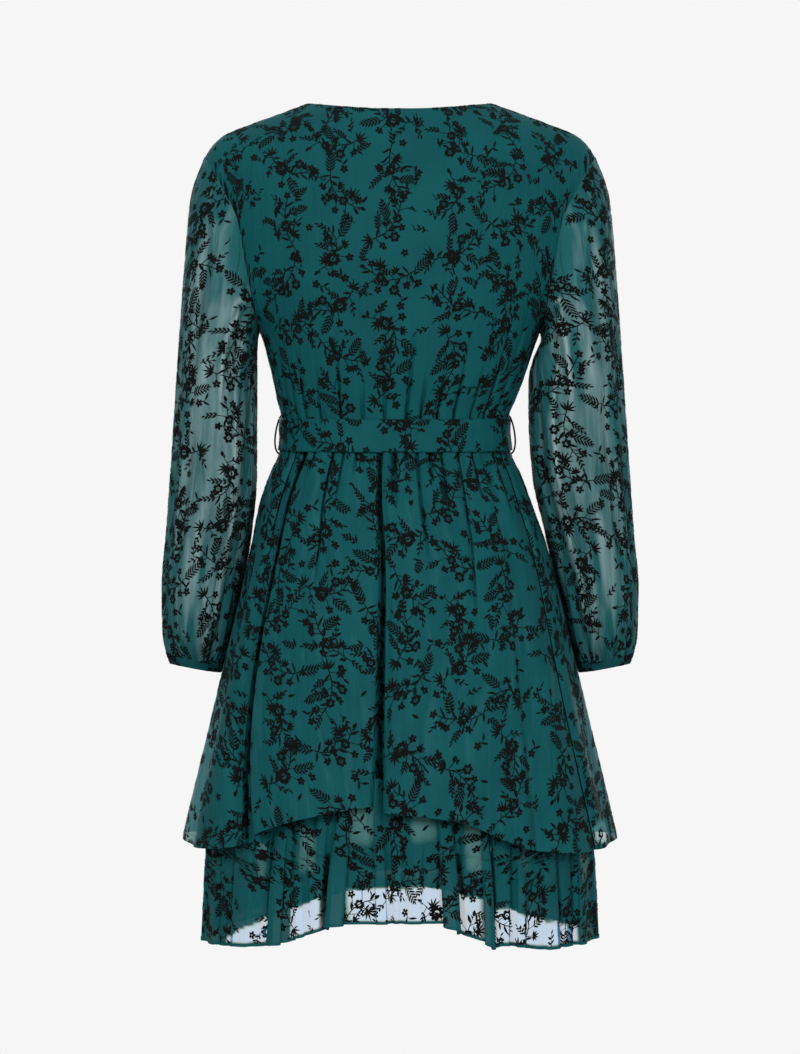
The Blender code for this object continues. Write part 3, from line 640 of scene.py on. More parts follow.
def follow_folds(deg, share, start):
    """Angle of the columns at each share of the drop: they keep to the folds' lines,
    spaced evenly between them, and stay upright at the side seams."""
    inside = [fold for fold in UPPER_FOLDS if start < fold.top_deg < start + 180.0]
    tops = [start] + [fold.top_deg for fold in inside] + [start + 180.0]
    hems = [start] + [fold.hem_deg for fold in inside] + [start + 180.0]
    bows = [0.0] + [fold.bow for fold in inside] + [0.0]
    return (deg + (np.interp(deg, tops, hems) - deg) * share
            + np.interp(deg, tops, bows) * np.sin(math.pi * share))


def upper_points(start):
    """Grid of half the outer tier: its columns follow the folds.  Soft troughs go in
    along the ring's normal, slits straight in from the back or the front, the wide
    ones aslant, and all stay off the lining."""
    deg, share = half_grid(start, fold_weights, columns=440, rows=116, spread=1.1)
    deg = follow_folds(deg, share, start)
    top = waist_height(deg) - SEAM_GAP / 2
    z = top + (read(UPPER_HEM, "deg", "z", deg) - top) * share
    x, y, out_x, out_y = ring_point(UPPER_TIER, deg, z)
    lining_x, lining_y, _, _ = ring_point(LINING, deg, z)
    gap = (x - lining_x) * out_x + (y - lining_y) * out_y + lining_tuck(deg, z)
    room = np.maximum(gap - LINING_CLEARANCE, 0.0)
    soft, slit, slide = fold_relief(deg, share, np.hypot(x, y))
    ripple = sin_deg(31.0 * deg + 60.0 * sin_deg(4.0 * deg))
    fine = UPPER_RIPPLE * ripple * smoothstep((share - 0.035) / 0.04)
    fine = fine * smoothstep((0.35 - share) / 0.3)
    soft = np.minimum(soft, SOFT_ROOM * room)
    held = np.minimum(1.0, (room - soft) / np.maximum(np.abs(out_y) * slit, 1e-6))
    swell = fine * smoothstep(share / 0.07) - soft
    inwards = -np.sign(out_y) * held
    points = np.stack([x + out_x * swell + inwards * slide,
                       y + out_y * swell + inwards * slit, z], axis=-1)
    return points, deg, share


def upper_density(deg, drop):
    """How solid the outer tier looks: full over its lining, thinner at the flared sides and,
    near the hem, thinner still at one corner; where it is thinner its colour is also painted
    paler, painted light coming through it."""
    left = smoothstep((25.0 - np.abs(turned(deg, 0.0))) / 12.0)
    right = smoothstep((20.0 - np.abs(turned(deg, 180.0))) / 10.0)
    flare = (left + 0.35 * right) * smoothstep((drop - 0.55) / 0.25)
    corner = bell(turned(deg, 158.0), 5.5, 4) * smoothstep((drop - 0.93) / 0.03)
    return 1.0 - 0.15 * flare - 0.45 * corner * smoothstep((0.985 - drop) / 0.005)


def lining_points(start):
    """Grid of half the lining: the ring's point, with shallow waves towards the hem."""
    deg, share = half_grid(start, np.ones_like, columns=130, rows=60)
    top = waist_height(deg) - SEAM_GAP / 2
    z = top + (LINING_HEM - top) * share
    x, y, out_x, out_y = ring_point(LINING, deg, z)
    wave = sin_deg(13.0 * deg + 40.0 * sin_deg(3.0 * deg))
    swell = LINING_WAVE * wave * smoothstep((share - 0.45) / 0.5) - lining_tuck(deg, z)
    return np.stack([x + out_x * swell, y + out_y * swell, z], axis=-1)


def flute_weights(deg):
    """More columns where the ruffle's flutes take up cloth."""
    dense = np.ones_like(deg)
    for flute in FLUTES:
        edge = flute.deg + math.copysign(0.5 * flute.width, flute.lean)
        dense += 1.2 * bell(turned(deg, flute.deg), flute.width * 0.55, 4)
        dense += 4.0 * abs(np.sign(flute.lean)) * bell(turned(deg, edge), 1.1)
    return dense


def ruffle_points(start):
    """Grid of half the ruffle.  Each flute stands out as a raised cosine, its sides
    tuck under it by a double sine of the angle, and beside it, on the side it leans
    to, the cloth closes in a slit; gathers fill the top."""
    deg, share = half_grid(start, flute_weights, columns=430, rows=62)
    z = RUFFLE_TOP + (read(RUFFLE_HEM, "deg", "z", deg) - RUFFLE_TOP) * share
    full = smoothstep(share / 0.75)
    out = np.zeros(z.shape)
    slide = np.zeros(z.shape)
    slit = np.zeros(z.shape)
    for flute in FLUTES:
        centre = flute.deg - flute.lean * (1.0 - share)
        place = np.clip(turned(deg, centre) / flute.width, -0.5, 0.5)
        out += flute.stand_mm * MM * (0.5 + 0.5 * np.cos(2.0 * math.pi * place)) * full
        slide += flute.tuck * flute.width * np.sin(4.0 * math.pi * place) * full
        edge = turned(deg, centre + math.copysign(0.5 * flute.width, flute.lean))
        leans = abs(np.sign(flute.lean))
        depth = 1.5 * flute.stand_mm * MM * leans * smoothstep((share - 0.1) / 0.5)
        slit += depth * bell(np.radians(edge) * RUFFLE_SPAN, RUFFLE_SLIT)
    for phase, width, depth in ((0.31, 2.1, 0.0016), (1.27, 1.4, 0.0011), (2.2, 0.8, 0.0007)):
        wave = sin_deg(deg * 360.0 / (width * 4.0) + 70.0 * sin_deg(5.0 * deg + 57.0 * phase))
        out += depth * wave * (0.35 + 0.65 * (1.0 - full))
    crimp = sin_deg(58.0 * deg + 80.0 * sin_deg(7.0 * deg))
    out += RUFFLE_CRIMP * crimp * (1.0 - smoothstep((share - 0.15) / 0.5)) - RUFFLE_DRAW * full
    x, y, out_x, out_y = ring_point(RUFFLE, deg + slide, z)
    lining_x, lining_y, _, _ = ring_point(LINING, deg + slide, z)
    gap = (x - lining_x) * out_x + (y - lining_y) * out_y - LINING_CLEARANCE
    gap = np.where(z > LINING_HEM - 0.004, gap, gap + 0.02)     # free below the lining
    out = out - np.minimum(slit, np.maximum(gap + out, 0.0))
    points = np.stack([x + out_x * out, y + out_y * out, z], axis=-1)
    return points, deg, share


def ruffle_density(deg, share):
    """How solid one layer of the ruffle looks: close where it is gathered, and sheer
    in its thin places, with soft edges in angle and in height."""
    cover = 0.95 + 0.035 * smoothstep((share - 0.55) / 0.15) * np.ones_like(deg)
    for thin in THIN_PLACES:
        along = np.clip((deg - thin.low) / (thin.high - thin.low), 0.0, 1.0)
        top = thin.low_share + (thin.high_share - thin.low_share) * along
        top = top + 0.008 * sin_deg(41.0 * deg)
        soft = 0.9 if thin.cover <= 0.5 else 3.0
        inside = smoothstep((deg - thin.low) / soft + 0.5)
        inside = inside * smoothstep((thin.high - deg) / soft + 0.5)
        inside = inside * smoothstep((share - top) / 0.014) * smoothstep((thin.end - share) / 0.16)
        cover = cover + (thin.cover - cover) * inside
    return cover + (FULL_COVER - cover) * smoothstep((share - 0.972) / 0.01)


# --- Sleeves ----------------------------------------------------------------

def armhole_loop(turn):
    """Closed edge of the left armhole; turn is 0 at the shoulder, 180 underarm."""
    middle = (SHOULDER_Z + UNDERARM_Z) / 2
    z = middle + (SHOULDER_Z - middle) * cos_deg(turn)
    x = read(ARMHOLE, "z", "x", z)
    share = x / read(TORSO, "z", "half_width", z)
    y = np.where(sin_deg(turn) >= 0.0, torso_depth(x, z, share, 1),
                 torso_depth(x, z, share, -1))
    return np.stack([x, y, z], axis=-1)


def sleeve_ring(share, turn, side):
    """Points of a sleeve as if on the left: tilted ellipses between an outer and an
    inner line, share being 0 at the armhole and 1 at the cuff."""
    place = np.linspace(0.0, 1.0, len(SLEEVE))

    def column(name):
        return cubic(place, [getattr(ring, name) for ring in SLEEVE], share)

    cosine = cos_deg(turn)
    outer_x, inner_x = column("outer_x"), column("inner_x")
    if side < 0:
        inner_x = inner_x - column("near")
    outer_z, inner_z = column("outer_z"), column("inner_z")
    x = (outer_x + inner_x) / 2 + (outer_x - inner_x) / 2 * cosine
    z = (outer_z + inner_z) / 2 + (outer_z - inner_z) / 2 * cosine
    y = column("y") + column("depth") * sin_deg(turn)
    return np.stack([x, y, z], axis=-1)


def across_mark(mark, share, turn, bow):
    """Section across a fold or streak that runs down a sleeve: a bell round its line,
    which goes straight from its top to its end but for a sine bow."""
    along = np.clip((share - mark.start) / (mark.end - mark.start), 0.0, 1.0)
    drift = mark.end_turn - mark.top_turn
    line = mark.top_turn + drift * along + bow * np.sin(math.pi * along) * np.sign(drift)
    return bell(turned(turn, line), mark.width)


def sleeve_relief(share, turn):
    """Folds of the sleeve as Gaussian ridges and troughs, with fine gathers, a sum of
    two waves round the arm, that grow towards the cuff."""
    relief = np.zeros(np.broadcast(share, turn).shape)
    for crease in CREASES:
        run = smoothstep((share - crease.start) / 0.12)
        if crease.end < 1.0:
            run = run * smoothstep((crease.end - share) / 0.12)
        relief += crease.mm * MM * run * across_mark(crease, share, turn, 0.0)
    wave = sin_deg(23.0 * turn) + 0.6 * sin_deg(37.0 * turn + 40.0)
    return relief + SLEEVE_GATHER * wave * smoothstep((share - 0.80) / 0.19)


def sleeve_points(side):
    """Grid of a sleeve's cloth, open along its underarm seam, with one more row at its
    top that is tucked under the bodice."""
    turn = np.linspace(-180.0, 180.0, 145)[None, :]
    share = np.linspace(0.0, 1.0, 171)[:, None]
    points = sleeve_ring(share, turn, side)
    to_armhole = armhole_loop(turn) - sleeve_ring(np.zeros((1, 1)), turn, side)
    keep = 1.0 - smoothstep(share / ARMHOLE_BLEND)
    points = points + keep[..., None] * to_armhole
    relief = sleeve_relief(share, turn) * smoothstep(share / 0.06)
    points = points + grid_normals(points) * relief[..., None]
    points[..., 0] += SEAM_GAP
    inwards = np.stack([np.ones(turn.shape), 0.3 * sin_deg(turn), 0.3 * cos_deg(turn)], axis=-1)
    tucked = points[:1] - SEAM_TUCK * inwards
    points = np.concatenate([tucked, points])
    share = np.concatenate([np.zeros((1, 1)), share])
    return points * np.array([side, 1.0, 1.0]), share, turn


def sleeve_flat(points, side):
    """Flat place on a sleeve: angle round an upright axis inside it times its mean
    radius, and height."""
    x = points[..., 0] * side
    y = points[..., 1]
    z = points[..., 2]
    axis_x = np.interp(z, (-0.60, -0.25, -0.06), (0.228, 0.202, 0.172))
    axis_y = np.interp(z, (-0.60, -0.25), (-0.030, -0.003))
    around = np.unwrap(np.arctan2(y - axis_y, x - axis_x), axis=1)
    around -= around[:, [points.shape[1] // 2]]
    return np.stack([around * SLEEVE_RADIUS, -z], axis=-1)


def sleeve_density(share, turn, side):
    """How solid one layer of a sleeve looks, which also sets how much painted light its
    colour takes: close at its outer and inner edge, under the shoulder and where it
    gathers to the cuff, with soft clouds, a sum of waves, and with pale streaks that
    run down it, painted highlights where the cloth is thinner."""
    base = 0.905 + 0.015 * (side < 0) + 0.065 * np.abs(cos_deg(turn)) ** 3
    base = base + 0.07 * smoothstep((0.27 - share) / 0.24)
    base = base + 0.05 * smoothstep((share - 0.62) / 0.30)
    cloud = (sin_deg(2.0 * turn + 420.0 * share) * sin_deg(5.0 * turn - 610.0 * share + 40.0)
             + 0.6 * sin_deg(9.0 * turn + 900.0 * share))
    base = base + 0.016 * cloud * smoothstep((share - 0.12) / 0.2)
    for streak in STREAKS:
        run = smoothstep((share - streak.start) / 0.06) * smoothstep((streak.end - share) / 0.12)
        run = run * smoothstep((0.93 - share) / 0.20)
        # Painted highlights: each streak lowers the cover, which makes the cloth more see-through
        # and paints its colour paler
        base = base - streak.pale * run * across_mark(streak, share, turn, 9.0)
    return np.clip(base, 0.0, FULL_COVER)


def cuff_points(sleeve_grid, side):
    """Short ring of elastic cuff under the sleeve: its top follows the sleeve's end,
    and downwards it keeps only that edge's two lowest harmonics.  It narrows a little,
    bulges by a half sine and is crimped by a wave round the wrist."""
    end = sleeve_grid[-1]
    middle = end[:-1].mean(axis=0)
    turn = np.linspace(0.0, 1.0, end.shape[0])
    columns = 288
    fine = np.linspace(0.0, 1.0, columns + 1)
    edge = np.stack([np.interp(fine, turn, end[:, axis]) for axis in range(3)], axis=-1)
    spectrum = np.fft.rfft(edge[:-1], axis=0)
    spectrum[3:] = 0.0
    even = np.fft.irfft(spectrum, n=columns, axis=0)
    even = np.concatenate([even, even[:1]])
    share = np.linspace(0.0, 1.0, 9)[:, None, None]
    edge = edge + (even - edge) * smoothstep(share / 0.7)
    crimp = CUFF_CRIMP * np.sin(fine * 2.0 * math.pi * CUFF_CRIMPS)
    crimp = crimp * np.sin(math.pi * (0.1 + 0.9 * share[..., 0]))
    narrowing = 1.0 - 0.06 * share
    outward = edge - middle
    outward /= np.linalg.norm(outward, axis=-1, keepdims=True)
    bulge = 0.0008 * np.sin(math.pi * share)
    fall = np.array([-0.0012 * side, 0.0, -1.0])
    drop = (CUFF_DROP + CUFF_TUCK) * share - CUFF_TUCK
    return (middle + (edge - middle) * narrowing + outward * (crimp[..., None] + bulge)
            + fall * drop)


# --- Sash -------------------------------------------------------------------

def sash_points():
    """Grid of the sash: a band off the waist, one end lifted over the other in front,
    with long soft creases as sines across its height."""
    deg = np.linspace(-90.0 - SASH_LAP_DEG / 2, 270.0 + SASH_LAP_DEG / 2, 421)[None, :]
    share = np.linspace(0.0, 1.0, 15)[:, None]
    lift = smoothstep((deg - (270.0 - SASH_LAP_DEG / 2 - 24.0)) / 18.0) * SASH_LIFT
    z = waist_height(deg) + (0.5 - share) * SASH_HEIGHT
    x, y, out_x, out_y = ring_point(TORSO, deg, z)
    skirt = ring_point(UPPER_TIER, deg, z)
    reach = np.maximum((skirt[0] - x) * out_x + (skirt[1] - y) * out_y, 0.0)
    middle = np.sin(math.pi * share)
    slack = SASH_SLACK * middle * sin_deg(9.0 * deg + 300.0 * share)
    away = SASH_STAND_OFF + lift + reach + slack + SASH_SLACK * middle
    return np.stack([x + out_x * away, y + out_y * away, z], axis=-1)


# --- Belt loops -------------------------------------------------------------

def belt_loop(name, side, material):
    """Twisted thread along a bowed line from the bodice over the sash to the skirt: a
    round tube whose radius swells with the twist as a wave of length and angle."""
    deg = 0.0 if side > 0 else 180.0
    heights = np.array([point.z for point in LOOP_LINE])
    first = side * ring_point(TORSO, np.array([deg]), heights[:1])[0]
    last = side * ring_point(UPPER_TIER, np.array([deg]), heights[-1:])[0]
    skin = np.linspace(first[0], last[0], len(heights))
    steps, sides = 96, 10
    share = np.linspace(0.0, 1.0, steps + 1)
    knots = np.linspace(0.0, 1.0, len(heights))
    x = side * cubic(knots, skin + np.array([point.out for point in LOOP_LINE]), share)
    z = cubic(knots, heights, share)
    away = np.stack([-np.gradient(z), np.gradient(x)], axis=-1)
    away /= np.linalg.norm(away, axis=-1, keepdims=True)
    turn = np.linspace(0.0, 2.0 * math.pi, sides, endpoint=False)[None, :]
    radius = LOOP_RADIUS * (1.0 + 0.10 * np.sin(2.0 * turn + 60.0 * math.pi * share[:, None]))
    points = np.stack([x[:, None] + away[:, :1] * radius * np.cos(turn), radius * np.sin(turn),
                       z[:, None] + away[:, 1:] * radius * np.cos(turn)], axis=-1)
    first_of_ring = np.arange(steps)[:, None] * sides
    here = first_of_ring + np.arange(sides)
    after = first_of_ring + (np.arange(sides) + 1) % sides
    faces = np.stack([here, after, after + sides, here + sides], axis=-1).reshape(-1, 4)
    if side > 0:
        faces = faces[:, ::-1]
    return put_mesh(name, points.reshape(-1, 3), faces, material)


# --- Print motifs, flat, in millimetres -------------------------------------

Shape = namedtuple("Shape", "points faces")


def place(shape, x, y, turn, size=1.0, flip=1.0):
    """Scale a flat shape, mirror it if flip is -1, turn it in degrees and move it."""
    angle = math.radians(turn)
    spin = np.array([[math.cos(angle), math.sin(angle)], [-math.sin(angle), math.cos(angle)]])
    points = (shape.points * np.array([size, size * flip])) @ spin + (x, y)
    return Shape(points, shape.faces)


def join(shapes):
    """One shape from several."""
    starts = np.cumsum([0] + [len(shape.points) for shape in shapes[:-1]])
    return Shape(np.concatenate([shape.points for shape in shapes]),
                 np.concatenate([shape.faces + start for shape, start in zip(shapes, starts)]))


def curl(shape, amount):
    """Bend a shape that lies along x: y gains amount times x squared over its length."""
    points = shape.points.copy()
    points[:, 1] += amount * points[:, 0] ** 2 / max(np.ptp(points[:, 0]), 1e-6)
    return Shape(points, shape.faces)


def leaf(length, width):
    """Pointed leaf along x: a lens of eight points, widest before its middle."""
    shares = np.array([0.0, 0.22, 0.5, 0.8])
    halves = np.array([0.0, 0.40, 0.50, 0.26])
    upper = np.stack([shares, halves], axis=1)
    lower = np.stack([shares[:0:-1], -halves[:0:-1]], axis=1)
    points = np.concatenate([upper, [(1.0, 0.0)], lower]) * (length, width)
    faces = np.array([(0, 1, 7), (1, 2, 7), (2, 6, 7), (2, 3, 6), (3, 5, 6), (3, 4, 5)])
    return Shape(points, faces)


def leaflet(length, width):
    """Small leaf along x: a lens of six points, widest before its middle."""
    points = np.array([(0.0, 0.0), (0.28, -0.5), (0.68, -0.42), (1.0, 0.0), (0.68, 0.42),
                       (0.28, 0.5)]) * (length, width)
    return Shape(points, np.array([(0, 1, 5), (1, 4, 5), (1, 2, 4), (2, 3, 4)]))


def strip(upper, lower):
    """Flat strip between two lines with as many points, in triangles."""
    here = np.arange(len(upper) - 1)
    there = here + len(upper)
    faces = np.concatenate([np.stack([here, there, there + 1], 1),
                            np.stack([here, there + 1, here + 1], 1)])
    return Shape(np.concatenate([upper, lower]), faces)


def stem(length, width, steps=6):
    """Straight stem along x that tapers to its end."""
    along = np.linspace(0.0, length, steps + 1)
    half = np.linspace(width, width * 0.6, steps + 1) / 2
    return strip(np.stack([along, half], 1), np.stack([along, -half], 1))


def ring_shape(outer, inner):
    """Flat ring from two closed outlines with as many points."""
    here = np.arange(len(outer))
    after = (here + 1) % len(outer)
    faces = np.concatenate([np.stack([here, after, len(outer) + here], 1),
                            np.stack([after, len(outer) + after, len(outer) + here], 1)])
    return Shape(np.concatenate([outer, inner]), faces)


def flower(radius, petals):
    """Open flower: a ring of round petals, notched where they meet, round a bare ring
    with a dark dot in its middle."""
    shares = np.tile([0.70, 0.93, 1.0, 1.0, 0.93], petals)
    turns = np.radians(np.arange(len(shares)) * 360.0 / len(shares))
    spokes = np.stack([np.cos(turns), np.sin(turns)], axis=1)
    dot = spokes[::petals]
    middle = Shape(dot * radius * 0.16, np.array([(0, 1, 2), (0, 2, 3), (0, 3, 4)]))
    return join([ring_shape(spokes * shares[:, None] * radius, spokes * radius * 0.36), middle])


def blossom(radius):
    """Small flower of five round petals with a pinhole of bare cloth in its middle."""
    shares = np.tile([0.52, 0.92, 1.0, 0.92], 5)
    turns = np.radians(np.arange(20) * 18.0)
    spokes = np.stack([np.cos(turns), np.sin(turns)], axis=1)
    return ring_shape(spokes * shares[:, None] * radius, spokes * radius * 0.17)


def fern(length):
    """Fern frond: paired narrow leaflets along a stem, longest before the middle."""
    parts = [stem(length, 0.8, 4)]
    pairs = max(4, round(length / 3.9))
    for number in range(pairs):
        share = (number + 0.8) / (pairs + 0.5)
        reach = length * 0.33 * math.sin(math.pi * (0.24 + 0.66 * share)) + 0.8
        for side in (1.0, -1.0):
            start = length * (share + 0.02 * side)
            parts.append(place(leaflet(reach, 2.1), start, 0.0, 48.0 * side))
    parts.append(place(leaflet(4.4, 1.6), length - 1.0, 0.0, 0.0))
    return curl(join(parts), 0.14)


def fan(length):
    """Spray of narrow blades from one point, the middle ones longest."""
    parts = []
    for number in range(6):
        turn = -70.0 + 27.0 * number
        reach = length * (1.0 - 0.30 * abs(turn) / 70.0)
        parts.append(place(curl(leaf(reach, 2.1), 0.002 * turn), 0.0, 0.0, turn))
    return join(parts)


def twig(length):
    """Thin curved twig with small paired leaves and one at its tip."""
    parts = [stem(length, 0.8, 5)]
    pairs = max(2, round(length / 4.4) - 1)
    for number in range(pairs):
        share = 0.24 + 0.72 * number / pairs
        for side in (1.0, -1.0):
            start = length * (share + 0.03 * side)
            parts.append(place(leaflet(5.4, 2.2), start, 0.0, 42.0 * side))
    parts.append(place(leaflet(5.0, 2.0), length - 0.8, 0.0, 0.0))
    return curl(join(parts), 0.22)


def bud(length):
    """Closed bud on a short stalk."""
    head = place(leaf(length * 0.52, length * 0.30), length * 0.48, 0.0, 0.0)
    side_leaf = place(leaflet(length * 0.35, 1.6), length * 0.30, 0.0, 38.0)
    return curl(join([stem(length * 0.55, 0.8, 2), head, side_leaf]), 0.12)


def blade(length):
    """Long narrow leaf with a slight bend."""
    return curl(leaf(length, 2.5), 0.16)


def rose(radius):
    """Large open flower of eight petals."""
    return flower(radius, 8)


def daisy(radius):
    """Middling flower of six petals."""
    return flower(radius, 6)


# A sprig is an arching branch with motifs along it: the motif, its share along the
# branch, the length of the stalk that it stands on, its turn from the branch, its size
SPRAY = "motif along stalk turn size"
SPRIGS = table(
    "length arch sprays",
    (51.6, 81.9, table(
        SPRAY,
        (fan, 0.00, 2.0, 176.0, 13.0), (leaf, 0.05, 0.0, 62.0, 10.0),
        (twig, 0.13, 3.8, -58.0, 15.0), (leaf, 0.17, 0.0, 48.0, 10.0),
        (twig, 0.26, 2.6, 66.0, 21.0), (blade, 0.27, 0.0, -48.0, 13.0),
        (rose, 0.41, 0.0, 0.0, 8.3), (blossom, 0.48, 17.9, -72.0, 4.5),
        (leaf, 0.55, 0.0, 52.0, 11.0), (fern, 0.60, 3.7, -58.0, 24.0),
        (daisy, 0.68, 12.7, 64.0, 5.8), (leaf, 0.73, 0.0, -40.0, 9.0),
        (fan, 0.84, 7.1, 52.0, 9.0), (blade, 0.86, 0.0, -50.0, 13.0),
        (blossom, 1.00, 7.5, 26.0, 4.3), (fan, 0.98, 4.8, -26.0, 13.0),
        (twig, 0.02, 3.7, -118.0, 15.0), (twig, 0.31, 6.1, 30.0, 15.0))),
    (49.9, -88.2, table(
        SPRAY,
        (fern, 0.00, 0.0, 168.0, 24.0), (blade, 0.04, 0.0, 78.0, 12.0),
        (blossom, 0.12, 11.4, 52.0, 4.5), (leaf, 0.16, 0.0, -46.0, 11.0),
        (fan, 0.26, 8.0, -66.0, 9.0), (leaf, 0.30, 0.0, 46.0, 10.0),
        (daisy, 0.38, 12.1, 68.0, 5.9), (twig, 0.42, 3.7, -56.0, 22.0),
        (leaf, 0.52, 0.0, 44.0, 10.0), (blossom, 0.58, 15.3, 56.0, 4.3),
        (twig, 0.60, 2.9, -48.0, 15.0), (daisy, 0.73, 0.0, 0.0, 5.4),
        (fan, 0.78, 10.3, -76.0, 13.0), (twig, 0.80, 9.2, 66.0, 16.0),
        (blossom, 0.93, 10.1, -44.0, 4.3), (bud, 1.00, 0.0, 8.0, 14.0),
        (leaf, 0.98, 0.0, 48.0, 11.0), (blade, 0.08, 0.0, -92.0, 12.0))),
    (53.3, 54.6, table(
        SPRAY,
        (twig, 0.00, 0.0, 184.0, 18.0), (leaf, 0.04, 0.0, -64.0, 10.0),
        (fan, 0.09, 8.0, 58.0, 9.0), (blade, 0.18, 0.0, -50.0, 14.0),
        (fan, 0.22, 4.8, 62.0, 13.0), (blossom, 0.32, 12.7, -60.0, 4.7),
        (leaf, 0.35, 0.0, 40.0, 10.0), (twig, 0.43, 3.4, 62.0, 15.0),
        (daisy, 0.50, 0.0, 0.0, 6.4), (twig, 0.52, 7.0, -70.0, 21.0),
        (leaf, 0.64, 0.0, 46.0, 11.0), (blossom, 0.68, 12.7, -46.0, 4.5),
        (fern, 0.72, 3.7, 64.0, 22.0), (fan, 0.83, 6.6, -60.0, 9.0),
        (blade, 0.88, 0.0, 38.0, 14.0), (blossom, 1.00, 7.5, -12.0, 4.5),
        (twig, 0.95, 3.7, -78.0, 15.0), (bud, 0.60, 8.1, 100.0, 12.0))),
    (46.4, 109.2, table(
        SPRAY,
        (bud, 0.00, 0.0, 192.0, 13.0), (twig, 0.04, 3.0, -68.0, 15.0),
        (leaf, 0.08, 0.0, 58.0, 10.0), (fan, 0.16, 3.7, 92.0, 12.0),
        (blade, 0.22, 0.0, -46.0, 14.0), (rose, 0.33, 0.0, 0.0, 8.1),
        (blossom, 0.42, 16.6, -74.0, 4.7), (twig, 0.47, 7.0, 74.0, 16.0),
        (leaf, 0.52, 0.0, -44.0, 10.0), (fan, 0.60, 7.6, -62.0, 9.0),
        (leaf, 0.62, 0.0, 46.0, 9.0), (daisy, 0.73, 10.1, 60.0, 5.8),
        (fern, 0.78, 3.7, -54.0, 24.0), (blossom, 0.90, 9.5, 44.0, 4.3),
        (twig, 1.00, 0.0, 10.0, 18.0), (blade, 0.94, 0.0, -40.0, 12.0),
        (twig, 0.18, 5.4, -98.0, 15.0), (leaf, 0.28, 0.0, 130.0, 10.0))),
    (49.9, -60.9, table(
        SPRAY,
        (fan, 0.00, 1.0, 182.0, 13.0), (blossom, 0.07, 11.4, 66.0, 4.5),
        (blade, 0.10, 0.0, -58.0, 13.0), (twig, 0.20, 3.7, -74.0, 20.0),
        (leaf, 0.24, 0.0, 50.0, 10.0), (daisy, 0.33, 11.4, 66.0, 5.9),
        (fan, 0.38, 7.1, -52.0, 9.0), (leaf, 0.46, 0.0, 42.0, 11.0),
        (blossom, 0.54, 10.8, 64.0, 4.3), (fern, 0.56, 5.9, -66.0, 23.0),
        (daisy, 0.70, 2.0, 40.0, 5.4), (leaf, 0.76, 0.0, -50.0, 10.0),
        (twig, 0.88, 3.4, -48.0, 15.0), (bud, 0.92, 5.9, 60.0, 13.0),
        (twig, 1.00, 0.0, 4.0, 18.0), (blade, 0.00, 0.0, 112.0, 12.0),
        (blossom, 1.00, 8.8, -48.0, 4.1))),
)
BRANCH_WIDTH = 1.1
SPRIG_PITCH = (64.0, 58.0)  # across and down, in millimetres
SLEEVE_PITCH = (57.0, 52.0)


def sized(motif, size):
    """A motif of a size: its length, or its radius for a flower."""
    return leaf(size, size * 0.30) if motif is leaf else motif(size)


def sprig_shape(sprig):
    """A sprig on its branch, an arc whose middle is at the origin."""
    half = math.radians(sprig.arch) / 2
    radius = sprig.length / (2.0 * half)

    def on_branch(along):
        angle = (2.0 * along - 1.0) * half
        return np.stack([radius * np.sin(angle), radius * (1.0 - np.cos(angle))], -1), angle

    line, angle = on_branch(np.linspace(0.0, 1.0, 11))
    side = np.stack([-np.sin(angle), np.cos(angle)], -1) * BRANCH_WIDTH / 2
    parts = [strip(line + side, line - side)]
    for spray in sprig.sprays:
        root, angle = on_branch(spray.along)
        heading = math.degrees(angle) + spray.turn
        reach = np.array([math.cos(math.radians(heading)), math.sin(math.radians(heading))])
        if spray.stalk > 0.0:
            parts.append(place(stem(spray.stalk, 0.9, 1), root[0], root[1], heading))
        x, y = root + reach * spray.stalk
        parts.append(place(sized(spray.motif, spray.size), x, y, heading))
    return join(parts)


def scattered(low, high, start, pitch):
    """All the sprigs, loose leaves and buds that cover a flat patch from low to high
    (millimetres), on a half-drop repeat whose turns and flips step from place to place."""
    sprigs = [sprig_shape(sprig) for sprig in SPRIGS]
    small_leaf = leaf(9.0, 2.6)
    posy = join([blossom(4.8), place(stem(9.0, 0.9, 1), 0.0, 0.0, 200.0),
                 place(small_leaf, -5.0, -2.0, 250.0), place(small_leaf, -8.0, -3.0, 150.0)])
    pair = join([place(fern(16.0), -7.0, 0.0, 0.0), place(small_leaf, -6.0, 0.0, 70.0)])
    loose = [leaf(10.0, 3.2), posy, place(twig(15.0), -7.0, 0.0, 0.0), pair, blossom(4.4), posy]
    across, down = pitch
    parts = []
    for column in range(math.floor(low[0] / across) - 1, math.ceil(high[0] / across) + 2):
        for row in range(math.floor(low[1] / down) - 1, math.ceil(high[1] / down) + 2):
            number = 5 * column + 3 * row + start
            x = across * column + 5.0 * math.sin(2.1 * number)
            y = down * (row + 0.5 * (column % 2)) + 5.0 * math.cos(3.7 * number)
            parts.append(place(sprigs[(column + 2 * row + start) % len(sprigs)], x, y,
                               (number * 77) % 360, 1.0, 1.0 - 2.0 * ((column + row) % 2)))
            for step in (0, 1, 2):
                piece = loose[(number + 2 * step) % len(loose)]
                beside = x + across * (0.5 - 0.30 * step) + 4.0 * math.sin(number)
                below = y + down * (0.05 + 0.44 * (step % 2))
                parts.append(place(piece, beside, below, (number * 53 + 90 * step) % 360))
    return join(parts)


# --- Print on cloth ---------------------------------------------------------

def sample(table, row, column):
    """Bilinear reading of a grid at fractional rows and columns, carried on past its edges."""
    low_row = np.clip(np.floor(row).astype(int), 0, table.shape[0] - 2)
    low_column = np.clip(np.floor(column).astype(int), 0, table.shape[1] - 2)
    a = (row - low_row)[:, None]
    b = (column - low_column)[:, None]
    upper = table[low_row, low_column] * (1 - b) + table[low_row, low_column + 1] * b
    lower = table[low_row + 1, low_column] * (1 - b) + table[low_row + 1, low_column + 1] * b
    return upper * (1 - a) + lower * a


def padded_inverse(known, reach, lattice):
    """Index at which a rising row of values meets each lattice value, carried on past
    both its ends at its mean step."""
    last = len(known) - 1.0
    step = (known[-1] - known[0]) / last
    values = np.concatenate([[known[0] - reach], known, [known[-1] + reach]])
    places = np.concatenate([[-reach / step], np.arange(last + 1.0), [last + reach / step]])
    return np.interp(lattice, values, places)


